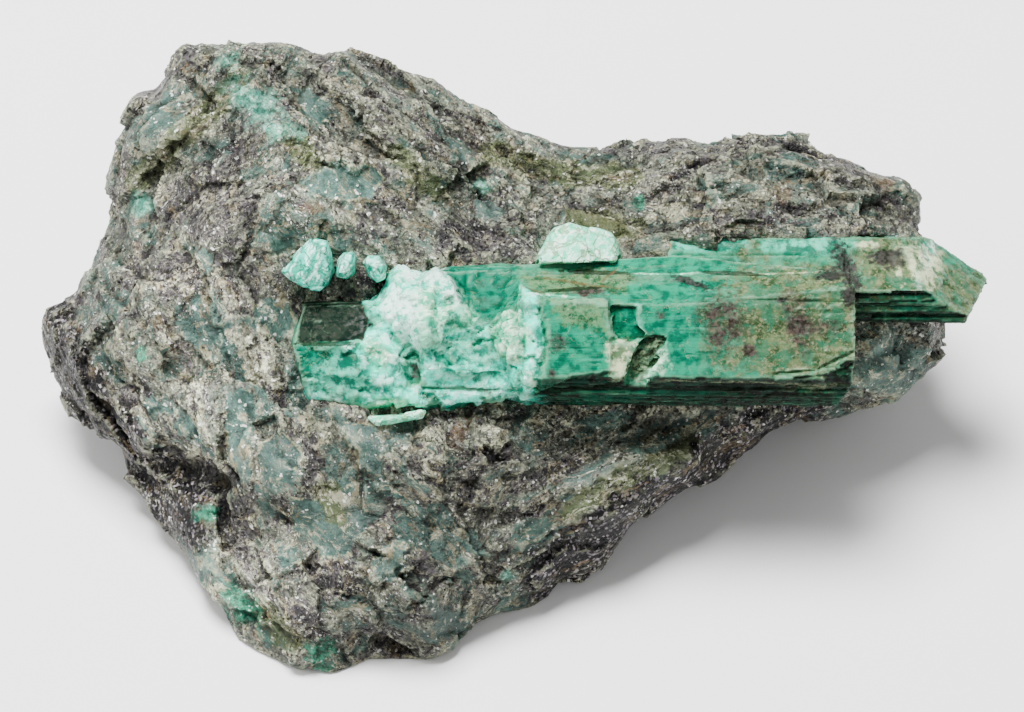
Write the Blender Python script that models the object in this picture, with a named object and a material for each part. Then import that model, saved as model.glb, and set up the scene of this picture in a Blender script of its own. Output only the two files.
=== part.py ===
"""Emerald in matrix: a lump of mica schist with emerald prisms grown into its show face.

The rock rests on the flat z = 0. Shapes are given on the show face, the side that carries the
crystals, in millimetres: u runs to the right, v runs up the face and w stands out of it.
"""

import math

import bmesh
import bpy
from mathutils import Vector, geometry, noise

MM = 0.001

# The show face's own frame
SHOW_ELEVATION = math.radians(50.0)  # its normal stands this far above the horizontal
SHOW_HEIGHT = 16.4  # height of the point u = v = w = 0 over the resting face
SHOW_OFFSET_X = -0.57  # and its place over the middle of the part's length and depth
SHOW_OFFSET_Y = -1.21

# The rock's skin
VOXEL = 0.72  # grid that turns the folded sheets into one skin
ROCK_TRIANGLES = 7800
POCKET_GAP = 0.34  # clearance between a crystal and the pocket that holds it

# Outline of the rock, square on to the show face, from the top left corner clockwise
OUTLINE = [
    (-34.6, 32.0, -5.0), (-33.0, 32.2, -5.0), (-29.5, 32.0, -5.0), (-25.2, 31.7, -4.0), (-21.0, 31.7, -4.6),
    (-16.4, 31.6, -5.0), (-13.2, 29.9, -5.4), (-9.4, 28.0, -6.0), (-5.2, 25.0, -6.4),
    (-0.8, 23.2, -7.0), (2.6, 22.2, -7.4), (5.2, 21.2, -8.0), (9.4, 21.1, -8.0),
    (14.0, 21.8, -8.0), (18.6, 22.5, -8.0), (22.6, 22.7, -8.0), (29.0, 22.4, -8.0),
    (32.0, 20.8, -8.0), (34.8, 18.4, -8.0), (39.9, 18.0, -8.0), (41.3, 15.0, -7.6),
    (42.0, 11.6, -7.0), (43.0, 7.0, -7.0), (44.0, 3.4, -7.0), (44.6, -0.4, -8.6),
    (42.2, -1.2, -9.0), (40.6, -3.2, -9.0), (37.4, -5.2, -8.4), (33.8, -6.4, -8.0),
    (29.0, -6.8, -6.0), (26.4, -7.4, -5.0), (23.6, -10.4, -4.6), (20.4, -13.1, -4.0),
    (16.6, -15.1, -3.4), (12.6, -17.7, -2.8), (9.0, -21.5, -2.0), (5.5, -23.5, -1.0),
    (2.4, -25.9, 0.2), (-1.2, -26.7, 1.2), (-4.0, -28.0, 2.4), (-6.2, -30.2, 3.4),
    (-8.4, -31.0, 4.0), (-11.2, -30.7, 4.4), (-12.9, -32.4, 4.8), (-16.4, -31.4, 5.0),
    (-18.8, -32.2, 5.0), (-22.6, -31.0, 4.6), (-25.4, -29.8, 4.0), (-27.8, -27.4, 3.0),
    (-29.8, -24.0, 1.6), (-32.2, -20.6, -0.6), (-34.6, -17.0, -3.0), (-37.8, -13.4, -5.0),
    (-41.0, -9.6, -7.0), (-43.6, -6.2, -8.4), (-45.6, -3.0, -9.0), (-47.0, 0.8, -9.4),
    (-48.2, 4.0, -9.2), (-47.2, 5.6, -8.4), (-43.6, 7.4, -7.0), (-42.2, 9.6, -6.4),
    (-40.8, 12.6, -6.0), (-40.6, 16.0, -6.0), (-40.1, 20.4, -6.0), (-39.2, 23.8, -6.0),
    (-37.2, 27.0, -6.0), (-35.6, 30.0, -5.6),
]

# Ridges, ledges and hollows of the show face. Neighbouring points of one line share an edge.
SHOW_LINES = {
    "top_shoulder": [
        (-32.6, 29.6, -2.2), (-28.6, 30.0, -1.6), (-25.2, 29.4, 0.4), (-20.6, 29.0, -1.4),
        (-16.8, 28.8, -1.0), (-11.8, 26.4, -2.0), (-4.4, 22.8, -2.8), (2.4, 19.4, -3.8),
    ],
    "hump_ridge": [(-26.8, 28.4, 2.2), (-28.6, 26.0, 3.6), (-30.4, 23.6, 3.8)],
    "hump_crease": [(-30.6, 28.6, -2.2), (-31.8, 26.8, -2.4), (-32.6, 24.6, -1.2)],
    "ledge_lip": [(-32.2, 22.0, 3.6), (-34.6, 21.0, 2.8), (-36.6, 19.6, 1.8), (-38.2, 18.0, 0.0)],
    "ledge_foot": [(-31.0, 20.4, 0.6), (-33.8, 19.0, -1.4), (-36.2, 17.4, -2.4)],
    "hump_left": [(-34.4, 25.4, 0.2), (-36.6, 23.0, -0.8)],
    "hump_face": [(-26.0, 25.4, 4.4), (-22.6, 22.4, 5.6), (-19.4, 20.0, 5.4)],
    "hump_lower": [(-28.4, 19.6, 4.2), (-24.4, 17.6, 5.4), (-20.4, 16.0, 5.2)],
    "notch": [(-20.8, 27.4, -0.8), (-18.6, 25.0, 0.6)],
    "spine": [
        (-16.8, 27.2, 1.4), (-14.0, 24.8, 3.0), (-11.0, 22.2, 3.6), (-8.4, 19.6, 3.6),
        (-5.0, 16.6, 2.8), (-1.4, 14.2, 2.4),
    ],
    "under_spine": [(-14.4, 21.6, 1.8), (-11.4, 18.8, 1.4), (-8.2, 16.0, 1.2), (-4.4, 13.6, 1.2)],
    "behind_spine": [(-8.6, 22.8, 0.2), (-3.0, 19.8, -0.8), (1.6, 17.0, -1.2)],
    "slab_brow": [
        (6.0, 18.6, -4.2), (12.0, 19.0, -4.0), (18.0, 20.2, -4.0), (24.0, 20.6, -3.8),
        (28.8, 19.8, -4.0), (32.6, 17.4, -4.2), (38.6, 15.8, -4.6),
    ],
    "slab_middle": [
        (5.2, 15.0, -0.8), (12.0, 15.6, -1.0), (18.0, 16.0, -0.8), (24.0, 16.2, -0.6),
        (30.0, 15.4, -0.8), (36.4, 13.4, -1.6), (39.8, 12.2, -3.4),
    ],
    "slab_foot": [(2.4, 11.4, 2.2), (10.0, 12.4, 1.8), (18.0, 12.6, 1.4), (26.0, 12.8, 1.0), (33.0, 12.4, 0.2)],
    "left_flank": [(-37.2, 13.4, 0.2), (-31.8, 14.4, 3.6), (-26.2, 13.2, 5.6), (-20.6, 11.6, 5.8)],
    "left_middle": [(-38.8, 9.4, -0.6), (-34.4, 8.6, 3.2), (-29.2, 8.2, 5.6), (-25.4, 7.6, 6.0)],
    "saddle": [(-14.6, 13.0, 4.0), (-9.2, 11.6, 3.6), (-4.8, 10.4, 3.4)],
    "corner": [(-44.6, 5.2, -4.4), (-41.4, 6.4, -2.2), (-38.2, 4.2, 1.4), (-33.4, 3.2, 4.8), (-28.0, 2.8, 6.8), (-24.6, 2.0, 6.2)],
    "left_edge": [
        (-45.0, 3.2, -4.6), (-43.2, 0.2, -2.4), (-41.0, -2.8, -0.6), (-38.6, -6.0, 0.8),
        (-36.0, -8.2, 1.8), (-32.6, -8.0, 3.8), (-29.4, -8.8, 5.4), (-27.2, -11.0, 6.6),
    ],
    "recess": [(-37.6, -9.6, -2.8), (-33.8, -10.8, -3.2), (-30.2, -12.0, -0.4), (-28.6, -14.8, 1.4), (-27.8, -18.6, 3.0)],
    "left_lump": [(-33.6, -14.0, 0.2), (-31.0, -15.0, 3.2), (-30.2, -18.4, 3.6), (-28.8, -22.2, 4.0)],
    "lower_left": [(-34.0, -3.0, 4.4), (-28.4, -3.6, 7.0), (-23.6, -6.0, 7.4), (-25.0, -14.0, 7.4)],
    "glass_patch": [(-20.6, -12.4, 9.0), (-16.0, -11.6, 9.4), (-13.2, -15.6, 9.4), (-17.0, -19.6, 8.6), (-21.4, -18.0, 7.8)],
    "mid_ridge": [
        (-13.6, -8.4, 8.4), (-9.4, -10.2, 9.2), (-10.0, -15.0, 10.0), (-9.6, -20.6, 9.8),
        (-8.6, -25.2, 8.4), (-8.0, -28.4, 6.6),
    ],
    "foot_left": [(-24.8, -23.6, 6.2), (-20.6, -25.0, 7.8), (-15.2, -24.4, 8.8)],
    "toe": [(-24.4, -27.8, 5.8), (-19.0, -29.8, 6.8), (-16.0, -29.0, 7.0)],
    "pit": [(-13.8, -28.8, 4.4), (-11.4, -28.6, 4.6)],
    "right_face": [(-4.0, -9.0, 7.0), (-3.6, -15.0, 7.6), (-3.2, -20.4, 7.2), (-3.4, -24.2, 5.6)],
    "right_face_outer": [(3.0, -8.6, 5.2), (3.0, -13.6, 6.2)],
    "under_crystal": [(9.4, -7.8, 3.2), (15.0, -7.2, 2.0), (20.6, -6.8, 0.8), (26.0, -5.0, -0.6)],
    "right_slope": [(8.6, -11.8, 4.8), (13.8, -9.8, 3.4)],
    "right_edge": [
        (0.4, -21.6, 5.6), (5.0, -18.8, 5.0), (9.4, -15.8, 4.4), (14.0, -12.8, 3.4),
        (18.8, -10.0, 2.2), (24.0, -7.8, 0.0), (28.6, -5.0, -1.2),
    ],
    "right_end": [(31.6, -3.4, -1.8), (36.0, -2.6, -2.4), (39.8, -1.6, -4.2), (41.6, 1.2, -3.6), (40.8, 4.6, -3.2)],
    "right_end_inner": [(30.0, 1.6, -0.4), (35.6, 1.8, -1.0), (38.4, 1.4, -0.8)],
    "bed": [(-20.4, 4.2, 3.8), (-14.0, 5.0, 4.6), (-4.0, 4.0, 4.4), (6.0, 4.0, 3.6), (16.0, 4.0, 2.4), (26.0, 4.4, 1.2)],
    "bed_low": [(-20.6, -0.4, 4.6), (-13.0, -3.4, 5.0), (-4.0, -4.0, 5.0), (4.0, -4.6, 4.6), (14.0, -4.2, 3.0)],
}

# The crystals. Every edge of a prism is a rail of (u, v, w) points from its left end to its right end.
MAIN_RAILS = [
    [(-9.0, 6.6, 4.6), (-0.6, 5.6, 7.0), (0.9, 5.1, 10.3), (16.0, 5.0, 10.4), (33.9, 6.8, 10.2)],
    [(-9.0, -0.8, 5.8), (-0.4, -1.8, 7.6), (1.0, -2.3, 11.2), (16.0, -2.2, 11.4), (33.9, -2.3, 11.2)],
    [(-9.0, -2.8, 3.6), (-0.4, -3.2, 4.8), (1.0, -3.2, 8.6), (16.0, -3.2, 8.8), (33.5, -3.3, 8.6)],
    [(-9.0, -3.1, 3.2), (-0.4, -3.7, 4.2), (1.0, -3.9, 8.3), (16.0, -3.9, 8.5), (33.0, -4.0, 8.3)],
    [(-9.0, -3.4, 2.6), (-0.4, -4.1, 3.4), (1.0, -4.8, 4.4), (16.0, -4.9, 4.6), (32.2, -5.0, 4.4)],
    [(-9.0, -2.6, -1.6), (-0.4, -2.8, -1.8), (1.0, -3.4, -2.4), (16.0, -3.6, -2.6), (32.6, -3.8, -2.6)],
    [(-9.0, 3.4, -2.6), (-0.4, 3.4, -3.0), (1.0, 3.2, -4.0), (16.0, 3.2, -4.2), (33.4, 3.2, -4.2)],
    [(-9.0, 8.0, 2.6), (-0.6, 8.8, 4.0), (0.9, 9.1, 4.4), (16.0, 10.0, 4.2), (34.0, 8.3, 8.0)],
]
REAR_RAILS = [
    [(15.6, 11.8, -2.6), (50.0, 12.0, -2.6)],
    [(15.6, 11.7, 1.0), (50.0, 11.9, 1.0)],
    [(15.6, 6.4, 5.2), (50.0, 6.4, 5.2)],
    [(15.6, 6.0, 4.3), (50.0, 6.0, 4.3)],
    [(15.6, 5.3, 4.3), (50.0, 5.3, 4.3)],
    [(15.6, 5.0, 3.4), (50.0, 5.0, 3.4)],
    [(15.6, 4.2, 3.4), (50.0, 4.2, 3.4)],
    [(15.6, 4.0, 2.5), (50.0, 4.0, 2.5)],
    [(15.6, 3.4, 2.4), (50.0, 3.4, 2.4)],
    [(15.6, 3.6, -2.8), (50.0, 3.6, -2.8)],
    [(15.6, 7.4, -5.4), (50.0, 7.4, -5.4)],
]
# Planes that end the rear prism, each a point and the direction of the side cut away
REAR_ENDS = [
    ((39.0, 12.0, 1.0), (0.62, 0.60, 0.50)),
    ((47.0, 6.4, -2.0), (0.86, -0.52, 0.0)),
]
NOTCH = [  # a wedge broken out of the lower front edge of the main prism
    (12.2, 1.6, 10.2), (14.6, 1.8, 10.4), (14.2, -0.6, 9.6), (11.6, -0.8, 9.4),
    (12.4, -3.6, 9.2), (14.0, -3.4, 9.4), (12.2, 1.8, 13.5), (15.0, 2.0, 13.5), (14.0, -3.6, 13.5), (11.4, -3.6, 13.5),
]
CHIP_SCAR = [  # the smooth hollow facet beside it
    (9.7, 5.2, 10.2), (12.3, 5.2, 10.7), (10.2, 3.0, 10.0), (12.3, 2.0, 10.4), (11.9, 0.9, 10.6),
    (10.6, 1.4, 10.3), (9.4, 5.6, 13.0), (12.6, 5.6, 13.0), (12.4, 0.8, 13.0), (10.4, 1.2, 13.0),
]
END_CHIP = [  # the lower corner broken off the right end
    (30.8, -2.0, 11.0), (33.4, -0.4, 10.9), (36.0, -0.2, 11.0), (36.0, -5.4, 7.6), (32.2, -5.6, 7.8),
    (31.0, -3.0, 9.0), (30.6, -2.2, 14.0), (33.2, 0.0, 14.0), (36.0, 0.0, 14.0), (36.0, -5.6, 14.0), (31.0, -5.6, 14.0),
]

# The broken milky mass that joins the main prism to the left crystal, clockwise from the top left
MASS_OUTLINE = [
    (-20.8, 5.5, 3.6), (-17.6, 5.6, 3.6), (-14.2, 5.6, 3.6), (-13.2, 6.4, 3.6), (-12.4, 8.2, 3.4),
    (-11.4, 9.0, 3.2), (-9.2, 8.5, 3.0), (-5.4, 9.0, 2.8), (-1.2, 9.3, 2.6), (2.2, 8.9, 2.4),
    (3.0, 3.0, 2.4), (2.6, -3.0, 2.6), (1.8, -4.0, 3.0), (-3.4, -5.0, 3.6), (-7.2, -5.9, 4.0),
    (-10.6, -5.1, 4.2), (-14.6, -5.9, 4.2), (-17.4, -5.6, 4.0), (-20.2, -4.6, 3.8), (-21.4, -1.6, 3.8), (-22.2, 1.2, 3.8),
]
MASS_LINES = [
    [(-20.6, 5.0, 5.8), (-17.0, 5.1, 6.2), (-14.2, 5.1, 6.8)],
    [(-21.7, 1.3, 7.2), (-18.0, 1.4, 8.2), (-14.4, 1.4, 8.4)],
    [(-20.8, -1.6, 7.4), (-20.0, -3.9, 6.6), (-14.4, -5.2, 7.2), (-10.6, -4.4, 7.6)],
    [(-16.8, -2.0, 8.2), (-13.0, -2.4, 8.4), (-11.2, -0.2, 8.8)],
    [(-13.2, 4.8, 7.2), (-12.6, 2.2, 8.2)],
    [(-11.6, 8.2, 6.2), (-12.0, 6.4, 7.8), (-9.9, 7.0, 9.2), (-9.2, 4.6, 10.2), (-8.6, 1.8, 10.4), (-7.8, -0.6, 10.0)],
    [(-10.4, 0.9, 7.4), (-9.9, -0.8, 7.2)],
    [(-6.8, 6.2, 8.6), (-5.4, 3.6, 8.6), (-4.6, 1.0, 8.8)],
    [(-8.0, 8.2, 6.2), (-4.6, 8.5, 5.6), (-1.0, 8.7, 5.4), (0.9, 8.6, 5.2)],
    [(-5.0, 6.6, 7.6), (-0.8, 6.4, 7.6), (0.5, 5.4, 8.8)],
    [(-2.2, 4.0, 8.8), (-0.4, 3.6, 10.0), (0.6, 1.6, 10.8), (0.5, -0.8, 10.8), (0.6, -2.6, 10.2)],
    [(-1.6, 0.6, 9.2), (-2.0, -1.6, 9.2), (-5.4, -1.8, 9.4)],
    [(-8.8, -2.2, 8.0), (-4.6, -3.4, 7.8), (-0.6, -3.4, 8.0)],
    [(-7.4, -4.6, 7.6), (-4.2, -4.4, 7.2), (0.4, -3.9, 7.0)],
]
MASS_BACK = [(-18.0, 0.0, -1.0), (-12.0, 2.0, -2.0), (-4.0, 3.0, -2.4), (0.0, 0.0, -2.4), (-8.0, -2.0, -1.6)]

# Small crystals: outline where each leaves the rock, and the crown of points that stand highest
PALE_OUTLINE = [
    (2.2, 9.1), (2.6, 10.2), (3.5, 11.9), (4.2, 12.7), (5.7, 13.3), (8.6, 12.6), (9.9, 12.2),
    (10.6, 11.3), (10.9, 10.0), (10.7, 9.2),
]
PALE_CROWN = [
    (2.9, 9.4, 5.7), (3.3, 10.6, 5.4), (4.6, 12.3, 4.6), (6.0, 12.8, 4.4), (9.5, 11.8, 4.8), (10.3, 10.4, 5.2),
    (10.2, 9.4, 5.8), (6.4, 9.3, 6.5), (6.8, 11.0, 6.2),
]
CHIP_1_OUTLINE = [
    (-22.8, 8.4), (-21.2, 10.4), (-19.6, 11.8), (-18.3, 11.4), (-17.9, 10.2), (-17.8, 8.4), (-18.2, 7.2),
    (-19.1, 6.5), (-20.8, 6.9), (-22.0, 7.6),
]
CHIP_1_CROWN = [
    (-22.2, 8.3, 7.8), (-20.9, 10.1, 8.1), (-19.5, 11.2, 8.0), (-18.5, 10.8, 8.1), (-18.1, 8.4, 8.4),
    (-18.6, 7.3, 8.2), (-20.6, 7.2, 8.3), (-20.2, 8.9, 8.8),
]
CHIP_2_OUTLINE = [(-17.3, 9.6), (-16.8, 10.3), (-15.8, 10.4), (-15.5, 9.8), (-15.8, 8.2), (-16.5, 7.7), (-17.4, 7.9)]
CHIP_2_CROWN = [(-17.0, 9.4, 7.8), (-16.6, 10.0, 7.7), (-15.9, 10.0, 7.6), (-16.1, 8.4, 8.0), (-17.1, 8.2, 8.2)]
CHIP_3_OUTLINE = [(-14.7, 9.3), (-14.2, 9.9), (-13.2, 9.9), (-12.5, 8.9), (-12.7, 7.7), (-13.4, 7.4), (-14.2, 8.1)]
CHIP_3_CROWN = [(-14.3, 9.2, 7.2), (-13.9, 9.6, 7.0), (-13.3, 9.5, 7.2), (-12.8, 8.8, 7.6), (-13.3, 7.9, 7.8)]
SLIVER_OUTLINE = [(-14.3, -6.1), (-13.5, -6.4), (-12.1, -6.3), (-10.1, -5.7), (-8.6, -5.5), (-9.0, -6.0), (-10.6, -6.4), (-12.2, -6.9), (-13.5, -6.8)]
SLIVER_CROWN = [(-13.4, -6.5, 9.0), (-11.0, -6.1, 9.5), (-9.4, -5.9, 9.3)]

# Back and underside of the rock, as x and y from the show face's centre and height over the resting face
BACK_POINTS = [
    (-33.0, 27.0, 15.0), (-20.0, 30.0, 17.0), (-6.0, 28.0, 14.0), (7.0, 25.5, 11.5),
    (20.0, 26.0, 13.0), (31.0, 23.0, 10.5), (38.5, 15.0, 7.5), (-40.5, 18.0, 11.0),
    (-43.0, 9.0, 7.0), (-39.0, -1.0, 3.4), (33.0, 1.0, 3.0), (19.0, -9.0, 2.0),
    (-27.0, 26.0, 5.0), (-12.0, 27.0, 5.5), (3.0, 25.0, 4.0), (17.0, 24.0, 5.0), (29.0, 20.0, 3.6),
]
FOOT_POINTS = [
    (-25.0, -20.0), (-12.0, -23.0), (2.0, -18.0), (14.0, -8.5), (26.0, -2.0), (34.0, 6.0),
    (32.0, 14.0), (18.0, 20.0), (3.0, 21.0), (-12.0, 22.5), (-27.0, 21.5), (-35.0, 13.0),
    (-36.0, 3.0), (-31.0, -9.0), (-10.0, 2.0), (10.0, 8.0),
]
FOOT_DEPTH = 2.4  # how far these reach under the resting face before it is cut flat


def on_show_face(u, v, w):
    """A point of the show face, in metres in the part's own frame."""
    lean, rise = math.sin(SHOW_ELEVATION), math.cos(SHOW_ELEVATION)
    x = u + SHOW_OFFSET_X
    y = v * lean - w * rise + SHOW_OFFSET_Y
    z = v * rise + w * lean + SHOW_HEIGHT
    return Vector((x, y, z)) * MM


def from_floor(x, y, height):
    """The u, v and w of a point given by its x and y from the show face's centre and its height."""
    lean, rise = math.sin(SHOW_ELEVATION), math.cos(SHOW_ELEVATION)
    above = height - SHOW_HEIGHT
    return (x, y * lean + above * rise, above * lean - y * rise)


def show_place(point):
    """The u, v and w in millimetres of a point of the part."""
    return from_floor(point.x / MM - SHOW_OFFSET_X, point.y / MM - SHOW_OFFSET_Y, point.z / MM)


SHOW_NORMAL = (on_show_face(0, 0, 1) - on_show_face(0, 0, 0)).normalized()


def clear_scene():
    for old in list(bpy.data.objects):
        bpy.data.objects.remove(old)


def finish(name, colour, roughness):
    """A material with the finish of one mineral."""
    made = bpy.data.materials.new(name)
    made.use_nodes = True
    shader = made.node_tree.nodes["Principled BSDF"]
    shader.inputs["Base Color"].default_value = (*colour, 1.0)
    shader.inputs["Roughness"].default_value = roughness
    return made


def object_of(name, mesh):
    made = bpy.data.objects.new(name, mesh)
    bpy.context.scene.collection.objects.link(made)
    return made


def wear(piece, material):
    """Gives a piece its one material."""
    piece.data.materials.clear()
    piece.data.materials.append(material)


def apply_modifier(target, kind, **settings):
    """Adds one modifier and makes its result the object's own mesh."""
    modifier = target.modifiers.new(kind.title(), kind)
    for setting, value in settings.items():
        setattr(modifier, setting, value)
    bpy.context.view_layer.update()
    graph = bpy.context.evaluated_depsgraph_get()
    mesh = bpy.data.meshes.new_from_object(target.evaluated_get(graph))
    target.modifiers.clear()
    old = target.data
    target.data = mesh
    bpy.data.meshes.remove(old)


# --- surface relief ---

GRAIN = [  # place on the show face, and the direction of the schist's layers there in degrees from u
    ((-10.0, 22.0), -38.0), ((-32.0, 22.0), 48.0), ((22.0, 17.0), -2.0), ((-38.0, -2.0), -52.0),
    ((-24.0, -4.0), -72.0), ((-18.0, -24.0), -40.0), ((12.0, -14.0), 26.0),
]


def grain_shares(u, v):
    """How much each named grain place counts at a point of the show face."""
    weights = [1.0 / (9.0 + (u - place[0]) ** 2 + (v - place[1]) ** 2) ** 2 for place, _ in GRAIN]
    return [weight / sum(weights) for weight in weights]


def chipped(point, cell, lift, tilt, seed):
    """Height of a broken surface at a point: each cell is one flat chip with its own level and lean."""
    sample = point / cell + Vector((seed, 1.7 * seed, 0.6 * seed))
    centre = noise.voronoi(sample)[1][0]
    level = noise.cell(centre * 3.1 + Vector((0.3, 0.2, 0.1)))
    lean = noise.cell_vector(centre * 2.3) * 2.0 - Vector((1.0, 1.0, 1.0))
    return lift * level + tilt * (sample - centre).dot(lean) * cell


def relief(point, chips, stretch):
    """Height of the broken schist at a point in millimetres, its chips drawn out along the layers."""
    u, v, w = show_place(point)
    height = 0.0
    for share, (_, degrees) in zip(grain_shares(u, v), GRAIN):
        if share < 0.04:
            continue
        turn = math.radians(degrees)
        along = (u * math.cos(turn) + v * math.sin(turn)) / stretch
        across = v * math.cos(turn) - u * math.sin(turn)
        height += share * sum(chipped(Vector((along, across, w)), *chip) for chip in chips)
    return height


def roughen(target, chips, stretch, rim_share=1.0):
    """Moves each vertex along its normal by layers of chips, sized in millimetres."""
    target.data.update()
    normals = [vertex.normal.copy() for vertex in target.data.vertices]
    for vertex, normal in zip(target.data.vertices, normals):
        facing = abs(normal.dot(SHOW_NORMAL))
        share = rim_share + (1.0 - rim_share) * min(1.0, facing / 0.45)
        vertex.co += normal * relief(vertex.co, chips, stretch) * share * MM


# --- the rock ---

def sheet(outline, lines, loose):
    """Triangulates one side of the rock over its outline. Returns its points past the outline, and its triangles."""
    count = len(outline)
    points = list(outline)
    edges = [(i, (i + 1) % count) for i in range(count)]
    for line in lines:
        first = len(points)
        points += line
        edges += [(first + i, first + i + 1) for i in range(len(line) - 1)]
    points += loose
    flat = [Vector(point[:2]) for point in points]
    found = geometry.delaunay_2d_cdt(flat, edges, [list(range(count))], 1, 1e-6)
    source = [origins[0] for origins in found[3]]
    return points[count:], [tuple(source[i] for i in face) for face in found[2]]


def closed_sheets(name, outline, front_points, front_faces, back_points, back_faces):
    """Sews a front and a back sheet together along the outline that they share."""
    count, shift = len(outline), len(front_points)
    body = bmesh.new()
    corners = [body.verts.new(on_show_face(*p)) for p in [*outline, *front_points, *back_points]]
    for face in front_faces:
        body.faces.new([corners[i] for i in face])
    for face in back_faces:
        body.faces.new([corners[i if i < count else i + shift] for i in reversed(face)])
    return mesh_of(name, body)


def rock_skin():
    """The rock before its surface is broken: two folded sheets sewn along the outline."""
    back = [from_floor(*point) for point in BACK_POINTS]
    back += [from_floor(x, y, -FOOT_DEPTH) for x, y in FOOT_POINTS]
    front_points, front_faces = sheet(OUTLINE, SHOW_LINES.values(), [])
    back_points, back_faces = sheet(OUTLINE, [], back)
    return closed_sheets("matrix", OUTLINE, front_points, front_faces, back_points, back_faces)


def floor_block():
    """Everything under z = 0, taken off the rock so that it rests flat."""
    body = bmesh.new()
    made = bmesh.ops.create_cube(body, size=0.2)
    bmesh.ops.translate(body, verts=made["verts"], vec=(0.0, 0.0, -0.1))
    return object_of("floor_block", mesh_of("floor_block", body))


def build_matrix():
    rock = object_of("matrix", rock_skin())
    apply_modifier(rock, "REMESH", mode="VOXEL", voxel_size=VOXEL * MM)
    apply_modifier(rock, "SMOOTH", factor=0.5, iterations=1)
    roughen(rock, chips=[(8.0, 0.60, 0.20, 3.0), (3.4, 0.32, 0.24, 11.0)], stretch=1.6, rim_share=0.5)
    apply_modifier(rock, "REMESH", mode="VOXEL", voxel_size=VOXEL * MM)
    triangles = 2 * len(rock.data.polygons)
    apply_modifier(rock, "DECIMATE", ratio=ROCK_TRIANGLES / triangles)
    combine(rock, floor_block(), "DIFFERENCE")
    return rock


# --- the crystals ---

def mesh_of(name, body):
    bmesh.ops.recalc_face_normals(body, faces=body.faces)
    mesh = bpy.data.meshes.new(name)
    body.to_mesh(mesh)
    body.free()
    return mesh


def hull(name, points):
    """The convex solid round some points of the show face."""
    body = bmesh.new()
    corners = [body.verts.new(on_show_face(*point)) for point in points]
    made = bmesh.ops.convex_hull(body, input=corners)
    unused = [item for item in made["geom_interior"] if isinstance(item, bmesh.types.BMVert)]
    bmesh.ops.delete(body, geom=unused, context="VERTS")
    return object_of(name, mesh_of(name, body))


def prism(name, rails):
    """A solid swept along its edges, closed at both ends."""
    body = bmesh.new()
    rings = [[body.verts.new(on_show_face(*point)) for point in ring] for ring in zip(*rails)]
    for ring, following in zip(rings, rings[1:]):
        for i in range(len(ring)):
            j = (i + 1) % len(ring)
            body.faces.new([ring[i], ring[j], following[j], following[i]])
    body.faces.new(rings[0])
    body.faces.new(rings[-1])
    bmesh.ops.triangulate(body, faces=body.faces)
    return object_of(name, mesh_of(name, body))


def break_off(target, point, direction):
    """Cuts a crystal along a plane of the show face's frame and closes the break."""
    start = on_show_face(*point)
    normal = (on_show_face(*direction) - on_show_face(0, 0, 0)).normalized()
    body = bmesh.new()
    body.from_mesh(target.data)
    everything = [*body.verts, *body.edges, *body.faces]
    cut = bmesh.ops.bisect_plane(body, geom=everything, plane_co=start, plane_no=normal, clear_outer=True)
    rim = [item for item in cut["geom_cut"] if isinstance(item, bmesh.types.BMEdge)]
    bmesh.ops.holes_fill(body, edges=rim, sides=0)
    bmesh.ops.triangulate(body, faces=[face for face in body.faces if len(face.verts) > 3])
    bmesh.ops.recalc_face_normals(body, faces=body.faces)
    body.to_mesh(target.data)
    body.free()


def combine(target, other, operation):
    """Joins another solid to the target, or cuts it away, and removes that solid."""
    apply_modifier(target, "BOOLEAN", object=other, operation=operation, solver="EXACT")
    bpy.data.objects.remove(other)


def inflated(source, gap):
    """A copy of a solid with every face moved outward by the gap, as a cutter."""
    body = bmesh.new()
    body.from_mesh(source.data)
    body.normal_update()
    moves = [vertex.normal * gap * min(vertex.calc_shell_factor(), 1.8) for vertex in body.verts]
    for vertex, move in zip(body.verts, moves):
        vertex.co += move
    cutter = object_of(source.name + "_pocket", mesh_of(source.name, body))
    cutter.hide_render = True
    cutter.display_type = "WIRE"
    return cutter


def stub(name, outline, crown, rim, root):
    """A small crystal: a wall round its outline between two depths, with a faceted crown."""
    wall = [(u, v, w) for u, v in outline for w in (root, rim)]
    return hull(name, wall + crown)


def build_mass():
    """The milky broken mass between the main prism and the left crystal."""
    front = sheet(MASS_OUTLINE, MASS_LINES, [])
    back = sheet(MASS_OUTLINE, [], MASS_BACK)
    return object_of("mass", closed_sheets("mass", MASS_OUTLINE, *front, *back))


def build_cluster():
    """The main prism, the rear prism and the milky mass, grown together."""
    main_prism = prism("emerald_cluster", MAIN_RAILS)
    rear = prism("rear", REAR_RAILS)
    for point, direction in REAR_ENDS:
        break_off(rear, point, direction)
    for name, points in (("notch", NOTCH), ("scar", CHIP_SCAR), ("end_chip", END_CHIP)):
        combine(main_prism, hull(name, points), "DIFFERENCE")
    combine(main_prism, rear, "UNION")
    combine(main_prism, build_mass(), "UNION")
    return main_prism


def cluster_room():
    """The room that the cluster takes up in the rock, as plain solids a little larger than its crystals."""
    plain = [hull("room", [point for rail in rails for point in rail]) for rails in (MAIN_RAILS, REAR_RAILS)]
    plain.append(build_mass())
    rooms = [inflated(solid, POCKET_GAP * MM) for solid in plain]
    for solid in plain:
        bpy.data.objects.remove(solid)
    return rooms


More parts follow.
